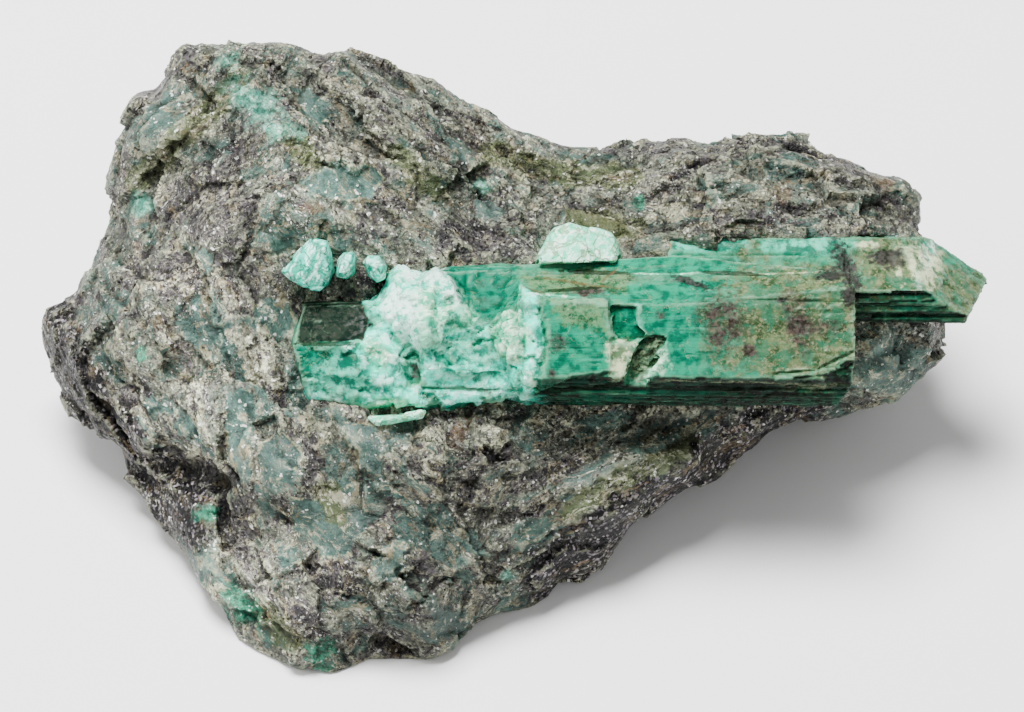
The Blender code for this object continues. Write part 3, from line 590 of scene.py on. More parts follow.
        [(7, 13.6), (12, 13)], [(-24.6, -25), (-22, -28.4)], [(-2, 20.4), (5, 18.4), (12, 18)],
    ],
    "foliated": [(12, -12.6, 15, 6.6, 28)],  # thin straight layers, hardly broken
    "rust": [
        (37.4, 17.2, 1.2, 0.5, -20), (27.2, 16.2, 1, 1, 30), (10.4, 17.8, 1.2, 0.4, -15),
        (-19.6, 14.6, 1, 0.6, -20), (-4.8, -7.2, 1.6, 0.8, 60), (-26.8, -9.4, 0.6, 0.8, 0),
    ],
    "glass": [(-8.8, 12.6, 0.1, 0.1, 0), (9, 13.2, 3.4, 0.9, -18)],
    "gloss": {"IOR": 1.6, "Specular_IOR_Level": 0.14},
    "rimScale": 1.3,
    "flakes": {"Scale": 3.8, "Share": 0.1},
    "coarseFlakes": {"Scale": 1.3, "Share": 0.08},
    "broad": {"Scale": 0.26, "Detail": 5.0, "Roughness": 0.7},
    "streaks": {"Scale": 0.9, "Detail": 4.0, "Roughness": 0.75},
    "bend": 4.0,
    "largeGrains": 0.40,
    "smallGrains": 1.35,
    "mottle": (1.1, 3.0),
    "dust": (4.5, 3.0, 0.85),
    "grit": (2.2, 3.0, 0.75),
    "kinds": (0.42, 0.30, 0.9),  # how much large grains, small ones and the broad pattern choose the mineral
    "tones": (0.48, 1.25, 1.3, 1.02),  # and how much small grains, streaks and that pattern make it lighter
    "tips": {"teal": 0.30, "dark": -0.50, "cream": -0.05},
    "creamTip": 0.26,
    "creamGrains": 0.5,
    "oliveStreaks": 1.6,
    "ochreStreaks": 0.6,
    "slabRagged": 0.5,
    "slabRimAt": 0.04,
    "bumps": (0.42, 0.55),  # grit, coarse flakes
    "colours": {  # dark and light end
        "ground": ((0.020, 0.022, 0.017), (0.168, 0.176, 0.132)),
        "dark": ((0.007, 0.006, 0.0065), (0.082, 0.073, 0.077)),
        "calm": ((0.010, 0.026, 0.021), (0.069, 0.138, 0.116)),
        "olive": ((0.022, 0.032, 0.010), (0.110, 0.125, 0.046)),
        "cream": ((0.120, 0.126, 0.066), (0.46, 0.46, 0.34)),
        "rim": ((0.002, 0.0014, 0.002), (0.150, 0.134, 0.143)),
        "mint": ((0.020, 0.170, 0.115), (0.20, 0.48, 0.36)),
        "green": ((0.0, 0.060, 0.034), (0.02, 0.24, 0.14)),
    },
    "touches": {  # colours of one tone
        "slabRim": (0.36, 0.36, 0.22), "ochre": (0.150, 0.105, 0.052), "crest": (0.27, 0.28, 0.19),
        "vein": (0.33, 0.33, 0.22), "rust": (0.17, 0.085, 0.030), "glass": (0.055, 0.060, 0.024),
        "salt": (0.66, 0.66, 0.62), "pepper": (0.006, 0.006, 0.006), "glint": (0.82, 0.82, 0.76),
    },
    "levels": {  # from and to which value each mask rises, and between which shares
        "tipped": (-0.3, 0.6), "dark": (0.66, 0.78, 0.95, 0.0), "calm": (0.86, 0.98), "slab": (-0.06, 0.10),
        "slabRim": (0.03, 0.26, 0.8, 0.0), "slabRimOften": (0.50, 0.58), "olive": (0.75, 1.15),
        "cream": (0.91, 1.00), "rimFlakes": (0.70, 1.0), "ochre": (1.18, 1.24, 0.0, 0.5),
        "crest": (-0.75, -0.25, 0.5, 0.0), "crestOften": (0.42, 0.56), "vein": (0.003, 0.016, 0.75, 0.0),
        "veinOften": (0.47, 0.55), "calmer": (0.0, 1.0, 1.0, 0.30), "spread": (0.0, 1.0, 0.15, 1.88),
        "mint": (0.40, 0.60), "green": (0.42, 0.58), "salt": (0.61, 0.65),
        "saltOften": (0.45, 0.57, 0.05, 0.95),
        "saltOnRim": (0.0, 1.0, 1.0, 0.2), "pepper": (0.375, 0.405, 0.75, 0.0),
        "glint": (0.55, 0.61, 0.0, 0.65),
        "deep": (-0.2, 0.8, 1.0, 0.66), "light": (-0.3, 0.7, 0.94, 1.80), "hollow": (-0.4, 0.8, 1.15, 0.40),
        "rough": (0.0, 1.0, 0.26, 0.60), "bump": (-0.2, 0.3, 0.95, 0.30),
    },
    "rims": {  # how ragged and how soft the rim of each painted patch is
        "rim": (0.9, 0.2), "rust": (1.9, 0.3), "mint": (1.3, 0.5), "green": (1.4, 0.4), "glass": (0.4, 0.1),
    },
    "shares": {  # how strong each layer of colour is
        "calm": 0.95, "olive": 0.8, "cream": 0.9, "rust": 0.28, "mint": 0.85, "green": 0.8, "glass": 0.8,
    },
}


def layerShares(show):  # how much each set of layers counts at a point
    shares = []
    for (u, v), _ in schist["grain"]:
        spread = schist["grainBlur"] + (show[:, 0] - u) ** 2 + (show[:, 1] - v) ** 2
        shares.append(1.0 / spread ** 2)
    shares = np.array(shares)
    return shares / shares.sum(axis=0)


def layered(show, turn, stretch):  # places along, across and out of a set of layers
    along = (show[:, 0] * np.cos(turn) + show[:, 1] * np.sin(turn)) / stretch
    across = show[:, 1] * np.cos(turn) - show[:, 0] * np.sin(turn)
    return np.stack([along, across, show[:, 2]], axis=1)


def rockHeights(show):  # how far each point goes out, in mm
    heights = np.zeros(len(show))
    for share, (_, degrees) in zip(layerShares(show), schist["grain"]):
        near = np.where(share > schist["leastShare"])[0]
        if len(near):
            lying = layered(show[near], math.radians(degrees), schist["stretch"])
            broken = sum(chips(lying, *layer) for layer in schist["chips"])
            for size, height, seed in schist["folds"]:
                broken += height * (folds(lying, size, seed) - 1.0)
            heights[near] += share[near] * broken
    smooth = patchField(show, schist["teal"] + schist["mint"]) * schist["patchSharp"]
    smooth = np.clip(smooth, 0.0, schist["patchCalm"])
    slabs = smoothStep(*schist["slabRim"], zonesField(show, schist["slabs"]))
    smooth = np.maximum(smooth, schist["slabCalm"] * slabs)
    foliated = smoothStep(*schist["foliatedRim"], patchField(show, schist["foliated"]))
    heights *= (1.0 - smooth) * (1.0 - schist["foliatedCalm"] * foliated)
    facing = smoothStep(*schist["front"], show[:, 2])
    jagged = ripple(show, *schist["jag"])
    for line, height, reach in schist["ledges"]:
        field = ledgeField(show, line, reach, schist["ledgeJag"] * jagged)
        heights += schist["ledgeShare"] * height * facing * field
    for line, width, depth in schist["pits"]:
        field = strokeField(show, line, width) + schist["pitJag"] * jagged
        heights -= depth * facing * smoothStep(*schist["pitRim"], field)
    for *block, height in schist["rises"]:
        field = patchField(show, [block]) + schist["riseJag"] * jagged
        heights += height * facing * smoothStep(*schist["riseRim"], field)
    return np.clip(heights, *schist["limits"])


def closeToCrystals(points):  # the rock is drawn up to every crystal, with no gap to look into
    crystals = treeOf([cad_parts[name] for name in sorted(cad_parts) if name != "matrix"])
    reach = schist["gapReach"] * mm
    for i, point in enumerate(points):
        hit, outward, _, distance = crystals.find_nearest(Vector(point), reach)
        if hit is None:
            continue
        share = float(1.0 - smoothStep(*schist["gapRim"], distance / reach))
        target = hit - outward * schist["gapSink"] * mm
        points[i] += (np.array(target) - point) * share


def paintRock(matrix, points):  # what the material reads, as attributes
    show = toShow(points)
    # hollow: how far each point lies below its smoothed neighbours; the material turns it into painted shade
    # in hollows and painted highlights on crests
    soft = evened(matrix, points, schist["hollowRounds"])
    hollow = ((soft - points) * normals(matrix)).sum(axis=1) / mm
    setField(matrix, "hollow", np.clip(hollow / schist["hollowDepth"], -1.0, 1.0))
    size, seed, seedStep = schist["patchWander"]
    for i, name in enumerate(schist["patches"]):
        field = patchField(show, schist[name])
        if name in schist["frontOnly"]:
            field += np.where(show[:, 2] > schist["frontDepth"], 0.0, farOutside)
        setField(matrix, name, wandering(show, field, size, seed + seedStep * i))
    rims = [strokeField(show, line, width) for line, width in zip(schist["rim"], schist["rimWidths"])]
    fields = {
        "rim": np.maximum.reduce(rims),
        "olive": strokesField(show, schist["olive"], schist["oliveWidth"]),
        "slab": zonesField(show, schist["slabs"]),
    }
    for name, field in fields.items():
        setField(matrix, name, wandering(show, field, *schist["wander"][name]))

    # the way the minerals lie: along the layers, which turn from block to block
    swung = rippled(show, schist["swingSize"], schist["swingSeeds"])
    choice = layerShares(show + schist["swing"] * swung).argmax(axis=0)
    turn = np.radians(np.array([degrees for _, degrees in schist["grain"]])[choice])
    foliated = smoothStep(*schist["foliatedRim"], patchField(show, schist["foliated"]))
    stretch = schist["flowStretch"] * (1.0 + schist["foliatedStretch"] * foliated)
    lying = layered(show, turn, stretch)
    sway = rippled(show, schist["swaySize"], schist["swaySeeds"])
    steady = (1.0 - schist["foliatedSteady"] * foliated)[:, None]
    setVectors(matrix, "flow", lying + schist["flowSway"] * sway * steady)


def rockPiece():
    matrix = copyOfNode("matrix", "schistMatrix")
    applyModifier(matrix, "REMESH", mode="VOXEL", voxel_size=schist["voxel"] * mm)
    points = evened(matrix, places(matrix), 1)
    level = points.copy()
    for _ in range(schist["evenRounds"]):
        level = evened(matrix, level, 1)
    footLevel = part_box("matrix")[0][2]
    footing = smoothStep(*schist["foot"], (points[:, 2] - footLevel) / mm)[:, None]
    points = points + (level - points) * footing
    setPlaces(matrix, points)
    out = normals(matrix)
    show = toShow(points)
    points = points + out * (rockHeights(show) * footing[:, 0] * mm)[:, None]
    closeToCrystals(points)
    tip = smoothStep(*schist["tipRim"], patchField(show, schist["tip"]))
    points[:, 0] -= schist["tipReach"] * tip * footing[:, 0] * mm
    setPlaces(matrix, points)
    triangles = 2 * len(matrix.data.polygons)
    if triangles > schist["mostFaces"]:
        applyModifier(matrix, "DECIMATE", ratio=schist["mostFaces"] / triangles)
        points = places(matrix)
    paintRock(matrix, points)
    smoothShaded(matrix, schist["smoothAngle"])
    print("schist:", len(matrix.data.polygons), "faces")
    return matrix


def schistMaterial():
    made, tree, shader = newMaterial("micaSchist", **schist["gloss"])
    place = showCoordinates(tree)
    flow = addNode(tree, "Attribute", {"attribute_name": "flow"}).outputs["Vector"]
    shift = useGroup(tree, raggedRim, Vector=place, Scale=schist["rimScale"])["Shift"]
    paint, touch, shares = schist["colours"], schist["touches"], schist["shares"]

    def level(name, value, smooth=True):
        return ramp(tree, value, *schist["levels"][name], smooth=smooth)

    def times(*values):
        return sums(tree, "MULTIPLY", *values)

    def patch(name):
        return maskOf(tree, name, shift, *schist["rims"][name])

    def tipped(value, name, share):  # a painted field tips the choice of mineral, so that a patch has no rim
        return sums(tree, "MULTIPLY_ADD", level("tipped", fieldOf(tree, name)), share, value)

    flakes = useGroup(tree, micaFlakes, Vector=place, **schist["flakes"])
    coarse = useGroup(tree, micaFlakes, Vector=flow, **schist["coarseFlakes"])
    broadTone, _ = tones(tree, "TexNoise", flow, **schist["broad"])
    streakTone, streakColour = tones(tree, "TexNoise", flow, **schist["streaks"])
    bent = bentBy(tree, flow, centred(tree, streakColour), schist["bend"])
    largeTone, _ = tones(tree, "TexVoronoi", bent, Scale=schist["largeGrains"])
    smallTone, _ = tones(tree, "TexVoronoi", bent, Scale=schist["smallGrains"])

    # each grain is grey-green, olive or dark, by its own number, its neighbourhood and the painted fields
    large, small, broad = schist["kinds"]
    kind = sums(tree, "MULTIPLY_ADD", largeTone["Red"], large, times(smallTone["Red"], small))
    kind = sums(tree, "MULTIPLY_ADD", broadTone["Green"], broad, kind)
    for name, share in schist["tips"].items():
        kind = tipped(kind, name, share)
    small, streaked, broad, less = schist["tones"]
    tone = sums(tree, "MULTIPLY_ADD", smallTone["Blue"], small, times(streakTone["Green"], streaked))
    tone = sums(tree, "SUBTRACT", sums(tree, "MULTIPLY_ADD", broadTone["Red"], broad, tone), less)
    toned = {name: blend(tree, tone, *paint[name]) for name in ("ground", "dark", "calm", "olive", "cream")}
    colour = blend(tree, level("dark", kind), toned["ground"], toned["dark"])
    slabLevel = sums(tree, "MULTIPLY_ADD", shift, schist["slabRagged"], fieldOf(tree, "slab"))
    calm = sums(tree, "MAXIMUM", level("calm", kind), level("slab", slabLevel))
    colour = blend(tree, times(calm, shares["calm"]), colour, toned["calm"])
    slabRim = sums(tree, "ABSOLUTE", sums(tree, "SUBTRACT", slabLevel, schist["slabRimAt"]))
    slabRim = times(level("slabRim", slabRim), level("slabRimOften", streakTone["Blue"]))
    colour = blend(tree, slabRim, colour, touch["slabRim"])
    olive = sums(tree, "MULTIPLY_ADD", streakTone["Red"], schist["oliveStreaks"], fieldOf(tree, "olive"))
    colour = blend(tree, times(level("olive", olive), shares["olive"]), colour, toned["olive"])
    cream = sums(tree, "MULTIPLY_ADD", smallTone["Green"], schist["creamGrains"], streakTone["Red"])
    cream = tipped(cream, "cream", schist["creamTip"])
    colour = blend(tree, times(level("cream", cream), shares["cream"]), colour, toned["cream"])
    # the dark bands along the lower edges: dark mica, with painted shade where these faces turn down away
    # from the light
    rim = patch("rim")
    colour = blend(tree, rim, colour, blend(tree, level("rimFlakes", flakes["Tone"]), *paint["rim"]))

    ochre = sums(tree, "MULTIPLY_ADD", streakTone["Blue"], schist["ochreStreaks"], smallTone["Green"])
    colour = blend(tree, level("ochre", ochre), colour, touch["ochre"])
    # painted highlight: pale cream along convex crests, where the ridges catch the light
    crest = times(level("crest", fieldOf(tree, "hollow")), level("crestOften", streakTone["Red"]))
    colour = blend(tree, crest, colour, touch["crest"])
    vein = sums(tree, "ABSOLUTE", sums(tree, "SUBTRACT", streakTone["Blue"], 0.5))
    vein = times(level("vein", vein), level("veinOften", broadTone["Red"]))
    calmer = level("calmer", calm)
    colour = blend(tree, times(vein, calmer), colour, touch["vein"])
    spread = level("spread", flakes["Tone"], smooth=False)
    colour = blend(tree, calmer, colour, blend(tree, 1.0, colour, spread, "MULTIPLY"))

    mottle = cloud(tree, place, *schist["mottle"])
    painted = {name: blend(tree, level(name, mottle), *paint[name]) for name in ("mint", "green")}
    painted.update(rust=touch["rust"], glass=touch["glass"])
    for name in ("rust", "mint", "green", "glass"):
        colour = blend(tree, times(patch(name), shares[name]), colour, painted[name])

    dust = cloud(tree, flow, *schist["dust"])
    salt = times(level("salt", dust), times(level("saltOften", broadTone["Blue"]), calmer))
    colour = blend(tree, times(salt, level("saltOnRim", rim)), colour, touch["salt"])
    colour = blend(tree, times(level("pepper", dust), calmer), colour, touch["pepper"])
    # painted highlight: a few flakes painted near white as glints
    colour = blend(tree, times(flakes["Glint"], level("glint", mottle)), colour, touch["glint"])
    # painted shade and light: darker in the deep patches, lighter in the light patches
    shade = times(level("deep", fieldOf(tree, "deep")), level("light", fieldOf(tree, "light")))
    # painted shade in hollows, and a little painted light on bumps
    shade = times(shade, level("hollow", fieldOf(tree, "hollow")))
    tree.links.new(blend(tree, 1.0, colour, shade, "MULTIPLY"), shader.inputs["Base Color"])

    tree.links.new(level("rough", flakes["Tone"], smooth=False), shader.inputs["Roughness"])
    gritHeight, coarseHeight = schist["bumps"]
    height = sums(tree, "MULTIPLY_ADD", cloud(tree, place, *schist["grit"]), gritHeight, flakes["Height"])
    height = sums(tree, "MULTIPLY_ADD", coarse["Height"], coarseHeight, height)
    worn = sums(tree, "MAXIMUM", fieldOf(tree, "slab"), fieldOf(tree, "teal"))
    bumped(tree, shader, times(height, level("bump", worn)), mm)
    return made


# the crystals
cluster = {
    "voxel": 0.25,
    "smoothAngle": 28.0,
    "wrap": (0.4, 0.3, 0.7),  # reach back to the solid in mm, share kept and share drawn to it
    "facing": (0.1, 0.5),
    "jag": (0.9, 27.0, 3),
    "jagged": 0.22,
    "brokenFinishes": ("milky", "white", "cream"),
    "brokenRim": (-0.5, 0.3),
    "leftEnd": (-1.0, -3.0),  # left of here the prism is worn
    "leftShare": 0.4,
    "polished": 0.85,
    "polishedRim": (-0.4, 0.2),
    "polishedBelow": -1.0,
    "striationStretch": 26.0,
    "striation": (0.55, 3.0, 3),
    "striationHeight": 0.028,
    "ledgeStretch": 9.0,
    "ledges": (1.1, 0.07, 0.05, 9.0),
    "blocks": (2.8, 0.17, 0.16, 21.0),
    "splinters": (1.9, 0.03, 0.15, 26.0),
    "bowls": (2.4, 0.36, 33.0),
    "sway": (2.0, 36.0, 2),
    "swayed": 0.5,
    "wornFrom": (18.0, 30.0),
    "wornPits": (0.5, 12.0, 2),
    "wornDepth": 0.06,
    "wornChips": (1.3, 0.05, 0.06, 15.0),
    "below": (-0.2, -0.6),
    "platesRight": (33.0, 35.0),
    "platesLeft": (0.0, 3.0),
    "platesShare": 0.5,
    "plateSpacing": (0.95, 0.35, 1.7, 0.6),  # mean, swing, how often it swings, start
    "plateLean": 0.03,
    "plateSway": (3.0, 44.0, 2),
    "plateSwayed": 0.35,
    "plateHeight": 0.34,
    "crumbStretch": 3.0,
    "crumbs": (0.8, 0.16, 0.2, 57.0),
    "crumbsUpTo": (33.0, 30.0),
    "dipRim": (0.0, 0.8),
    "zoneRim": -0.1,
    "notchRim": (-0.35, 0.2),
    "notchChips": (0.9, 0.22, 0.20, 39.0),
    "notchSlant": 0.33,
    "notchMiddle": (13.3, -0.3, -0.2),
    "notchAcross": (1.3, 2.8),
    "notchUp": (2.4, 3.4),
    "wander": (1.3, 7.0, 3.7, 0.22),
    "side": (-1.0, 4.0),
    "under": (0.15, 0.55),
    "underFrom": (0.0, 4.0),
    "edge": (3, 0.03, 0.06),  # rounds of evening, least and range
    "sunk": (8, 0.03, 0.16),
    "finishes": [
        "vivid", "milky", "white", "cream", "clear", "moss", "bone", "olive", "residue", "mica", "tan",
        "glass", "notch", "dark", "rust",
    ],
    "zones": [  # finish, height, how far in the height is reached, corners
        ("white", 0.3, 0.2, [(-11.6, 9.2), (-9.4, 9.3), (-9.2, 7.2), (-11.3, 6.8)]),
        ("white", 0.15, 0.4, [(-13.1, 5.4), (-11.4, 7.1), (-9.1, 6.7), (-8.8, 1.1), (-9.6, -0.4),
            (-11.8, 2.2)]),
        ("cream", 0.45, 0.7, [(-9.5, 6.7), (-7.6, 6.7), (-7.1, 0.7), (-8.8, 0.7)]),
        ("white", 0.3, 0.4, [(-8.8, 8.1), (-7.4, 8.7), (-5.8, 7.2), (-4.6, 3.4), (-5.2, 3.6), (-6, 5.6),
            (-8.2, 6.6)]),
        ("cream", 0.4, 0.5, [(-7.3, 5), (-5.4, 5.3), (-3.9, 4.5), (-4.1, 3), (-7.1, 3.1)]),
        ("vivid", -1.05, 1.8, [(-6.8, 8.9), (0.5, 9.1), (0.8, 5.7), (-0.7, 4.1), (-2.4, 3.2), (-4.4, 3.3),
            (-5.5, 5.6)]),
        ("milky", -0.55, 1.2, [(-8.8, 0.7), (-7.1, 1.6), (-3.9, 2.9), (-2.2, 3.2), (-1.9, -0.2),
            (0.9, -0.9), (0.4, -3.2), (-7.2, -3.3), (-8.9, -2.4)]),
        ("cream", 0.35, 0.2, [(-2.1, 2.6), (-0.7, 4.5), (1.1, 4), (0.9, -0.2), (-0.4, -0.7), (-1.8, 1.1)]),
        ("milky", 0.35, 1.1, [(0.8, 6.8), (2.3, 6), (3.3, 2.6), (2.2, -3.7), (0.8, -3.5), (0.9, 1)]),
        ("vivid", 0.45, 0.2, [(2.4, 5.7), (9.5, 5.4), (10, 1.1), (9.8, -1.7), (4.8, -2.4), (2.4, -3.7),
            (3.4, 1)]),
        ("moss", 0.05, 0.2, [(3.8, 5.4), (9.4, 5.3), (9.6, 2), (7.2, 2.9), (4.8, 3)]),
        ("moss", 0, 0.2, [(0.8, 8.4), (3, 8), (9.8, 8.3), (12, 7.8), (11, 6.3), (3, 6), (1.6, 6.9)]),
        ("bone", 0.3, 0.2, [(9.4, 1.1), (11, 1.7), (11.9, 0.5), (11.4, -2.2), (9.9, -2.6)]),
        ("vivid", -0.55, 0.3, [(9.7, 5), (12.3, 5), (12.4, 2.1), (11.2, 1.3), (10.1, 2.6)]),
        ("clear", 0.1, 0.2, [(12.3, 5), (12.7, 4.9), (12.6, 1.9), (12.2, 2)]),
        ("cream", 0.15, 0.3, [(14.4, 0.6), (15.2, -0.6), (14.6, -2.3), (12.9, -2.5)]),
        ("clear", -0.15, 0.8, [(-18.8, 0.4), (-16.4, 1.1), (-14.8, -0.6), (-13.4, -3.4), (-18.2, -4.6),
            (-20.7, -3.2)]),
        ("milky", 0.15, 0.6, [(-17.2, 1.2), (-12.7, 3.4), (-10.2, 0.2), (-10.4, -2.8), (-12.6, -3.6),
            (-16.2, -1.4)]),
        ("cream", 0.35, 0.3, [(-15.2, 1.2), (-13.2, 1.7), (-11.9, 0.4), (-12.4, -1.2), (-14, -0.6)]),
        ("white", 0.2, 0.3, [(-18.2, -3.6), (-16.6, -3.1), (-16.9, -4.8), (-18.5, -4.7)]),
        ("milky", 0.15, 0.3, [(-16.4, -3.4), (-9.4, -3.2), (1, -3.7), (0.6, -4.9), (-3.2, -5.4),
            (-7.2, -5.5), (-12.4, -5)]),
        ("vivid", -0.1, 0.2, [(-9.3, -3.5), (-7.6, -3.6), (-6, -5.6), (-7.8, -5.6)]),
        ("vivid", 0.05, 0.2, [(-3.2, -3.7), (-0.2, -3.6), (-0.4, -4.6), (-3, -5)]),
        ("glass", -0.25, 0.3, [(-21.3, 5.6), (-15, 5.8), (-14.2, 3.8), (-14.6, 1.5), (-16.2, 1.5),
            (-21.4, 1.2)]),
        ("vivid", 0, 0.3, [(10.8, 10.2), (22.4, 10), (22, 8.3), (10, 8.3), (8.4, 9.2)]),
        ("vivid", 0, 0.3, [(14.6, 12.1), (23.6, 11.9), (22.6, 10.4), (16.4, 10.3)]),
        ("vivid", 0, 0.3, [(24.4, 11.9), (33, 12), (33.6, 10.2), (29.4, 9.7), (25.2, 10.4)]),
        ("vivid", 0, 0.3, [(9.2, 7.2), (20.6, 7.4), (20, 5.6), (12, 5.2), (9.6, 5.5)]),
        ("vivid", 0, 0.4, [(12.6, 5), (18, 5), (18.6, 2), (18.2, -2), (14.6, -2.2), (14.2, 1.8),
            (12.6, 2)]),
        ("bone", 0.25, 0.3, [(38.4, 11), (40.8, 10.9), (43, 7.2), (42, 6.5), (40.2, 7.6)]),
        ("bone", 0.1, 0.3, [(40.8, 10.9), (42.8, 10.4), (43.4, 8), (42.2, 8)]),
        ("olive", -0.1, 0.3, [(42.6, 10.2), (46.8, 5.4), (45.4, 4.4), (42.4, 6.2), (43.4, 8.2)]),
    ],
    "milky": [(-10.6, 3.6, 4, 5, 10), (-5, -4.4, 7, 1.2, 0), (-20, -3.4, 1.6, 1.2, -40)],
    "white": [(41.4, 9.4, 0.7, 1.8, -20), (-22.9, 0.4, 0.6, 0.6, 0)],
    "clear": [
        (-4, 0.8, 3, 1.9, -20), (-8, 1.6, 0.8, 1.6, 10), (-13.4, 3.6, 0.8, 1, 0),
        (-10, -0.9, 0.9, 1.5, -20), (-5.6, 4, 1.4, 0.7, 40), (-4.2, -2, 2.6, 0.8, 0),
        (-2.8, -2, 1.6, 0.7, 10), (19, 11.2, 4.4, 0.7, 0), (29.4, 11, 4, 0.8, 0),
    ],
    "bone": [
        (16, -2.5, 3, 0.12, 0), (25, -2.6, 6, 0.12, -1), (34.2, 1, 0.16, 5.6, 0), (26, 8.2, 4, 0.1, 2),
        (38.4, 9, 0.3, 2.2, 10), (30, -3, 2.6, 0.3, 4), (35.4, 11, 1, 0.5, 0),
    ],
    "cream": [
        (15, 8.2, 4, 0.08, 0), (4, 6, 2.6, 0.12, -4), (1.4, 2, 0.5, 1, 0), (2, -2.4, 0.4, 0.9, 0),
        (-12, -4.6, 1.4, 0.3, 8),
    ],
    "vivid": [
        (-19.4, -0.8, 2.6, 2.4, -20), (-16.6, -0.2, 1.4, 0.9, -20), (16.8, -3.6, 4.4, 0.45, -1),
        (8.8, -4.3, 3.6, 0.45, 3), (32.4, -4.6, 0.7, 0.7, 0), (-4.6, -5, 2, 0.4, 0),
    ],
    "olive": [
        (6.4, 3.9, 3.4, 1.4, 0), (7, 7.6, 5, 1, 0), (28, 2.6, 9, 5.4, 0), (45, 6.4, 2.6, 2.8, -30),
        (23.8, 10.8, 2.4, 1.6, 0), (38, 9, 4.8, 3.4, 0), (30, 7, 9, 2.2, 0), (26, -4, 6, 0.6, 0),
    ],
    "notch": [(13.2, -0.2, 1.1, 2.2, -14)],
    "dark": [
        (8.6, 8.3, 4, 0.22, -2), (-18.4, 1.2, 3.4, 0.25, 0), (6, 6.6, 3, 0.2, 4), (22, 8.2, 3.6, 0.2, -3),
        (6.6, -3.2, 5, 0.3, 6), (20, -3.2, 8, 0.22, 0), (13, 1.9, 1.6, 0.2, 0),
    ],
    "rust": [
        (-5, -3.3, 3.8, 0.14, -2), (6.4, 7.3, 4, 0.14, -8), (2.4, 6.4, 1.4, 0.14, -20),
        (9.6, 8, 1.2, 0.14, 40),
    ],
    "dips": [  # line on the show face, half width, depth
        ([(-9.8, 0.2), (-9.5, -2.4)], 0.6, 0.4), ([(-8.8, -3.2), (-5, -3.4), (-1.3, -3.3)], 0.3, 0.3),
        ([(-10.4, 1), (-11.2, -0.6), (-10, -2.6)], 0.4, 0.4),
        ([(-4.6, 8.6), (-4.4, 6), (-4, 3.2)], 0.25, 0.2),
        ([(0.8, 6.6), (1, 4), (1.2, 0), (0.8, -3.6)], 0.25, 0.3), ([(3.4, 5.6), (9.6, 5.6)], 0.2, 0.2),
        ([(2.4, 8.2), (9.6, 8.2), (16, 8.1), (24, 8.1)], 0.16, 0.16),
        ([(16, 10.2), (24, 10.2), (33, 10)], 0.16, 0.15),
        ([(12.6, 5.3), (20, 5.5), (33, 5.4)], 0.16, 0.14), ([(33.2, 10.4), (33.4, 7)], 0.3, 0.3),
        ([(26, -1.8), (30, -1.4), (33.8, 0.4)], 0.22, 0.22),
        ([(28, -2.2), (31.2, -2), (33.9, -0.8)], 0.22, 0.22),
    ],
    "residue": [
        (-9.6, -1.5, 0.5, 1, 0), (20.8, 3.2, 2.3, 2.7, 20), (28.2, 3.4, 1.3, 3, 12),
        (31, 2.8, 1.6, 0.8, 0), (4.5, 1.3, 0.8, 0.8, 0), (3.9, -1.8, 0.45, 0.45, 0),
        (14.7, 4, 0.5, 0.5, 0), (23.4, 0.4, 0.8, 0.8, 0), (7.6, 6.4, 2, 0.6, 0),
    ],
    "mica": [
        (33.2, 8.8, 1.1, 2.8, 20), (31.6, 8, 1.5, 0.6, 0), (37.4, 9.8, 2, 1, 0),
        (17.6, 7.4, 2.2, 0.35, -18), (33.4, 6, 0.8, 1.2, 0), (12.6, 11, 2.2, 0.8, 0),
        (26.6, 5.5, 0.7, 0.3, 0),
    ],
    "tan": [(15.2, 11.1, 0.6, 0.5, 0)],
    "glass": [(-17.8, 3.4, 3.8, 1.9, 0)],
    "gloss": {"IOR": 1.58, "Specular_IOR_Level": 0.035, "Subsurface_Weight": 0.20,
              "Subsurface_Radius": (0.4, 1.0, 0.8), "Subsurface_Scale": 1.2 * mm},
    "rimScale": 1.9,
    "streaks": (11.0, 1.6, 4.0, 0.65),  # stretch along the prism, then scale, detail and roughness
    "lines": (24.0, 5.0, 2.0, 0.6),
    "mottle": (0.55, 4.0, 0.62, (7.0, 1.0, 2.0)),
    "cloudy": (0.85, 5.0, 0.60, (3.0, 9.0, 4.0)),
    "fine": (2.4, 4.0, 0.7),
    "bendScale": (0.9, 3.0),
    "bend": 2.6,
    "grains": 0.8,
    "flecks": (0.05, 0.11, 0.055),
    "cracks": {"Scale": 0.28, "Width": 0.022},
    "flakes": {"Scale": 3.2, "Share": 0.12},
    "levels": {  # from and to which value each mask rises, and between which shares
        "crisp": (0.44, 0.56), "under": (0.46, 0.58), "underLines": (0.40, 0.50),
        "onGlass": (0.0, 1.0, 1.0, 0.3), "residue": (0.38, 0.56, 0.35, 0.95),
        "shade": (0.0, 1.0, 1.0, 0.24), "rough": (0.35, 0.65, 0.20, 0.38),
    },
    "colours": {  # the first colour, then what lies on it: pattern, from, to, colour, share
        "body": [(0.002, 0.090, 0.050), ("mottle", 0.40, 0.60, (0.014, 0.190, 0.108), 1.0),
                 ("cloudy", 0.48, 0.62, (0.060, 0.230, 0.120), 0.6),
                 ("streaks", 0.48, 0.62, (0.08, 0.25, 0.14), 0.3)],
        "olive": [(0.020, 0.044, 0.016), ("cloudy", 0.38, 0.60, (0.085, 0.122, 0.054), 1.0),
                  ("fine", 0.52, 0.58, (0.17, 0.17, 0.09), 0.75),
                  ("mottle", 0.48, 0.56, (0.014, 0.105, 0.055), 0.7)],
        "milky": [(0.0, 0.290, 0.200), ("mottle", 0.40, 0.58, (0.04, 0.90, 0.66), 1.0),
                  ("flecked", 0.52, 0.66, (0.52, 0.99, 0.86), 0.85)],
        "vividLeft": [(0.0, 0.058, 0.031), ("cloudy", 0.36, 0.62, (0.0, 0.155, 0.091), 1.0)],
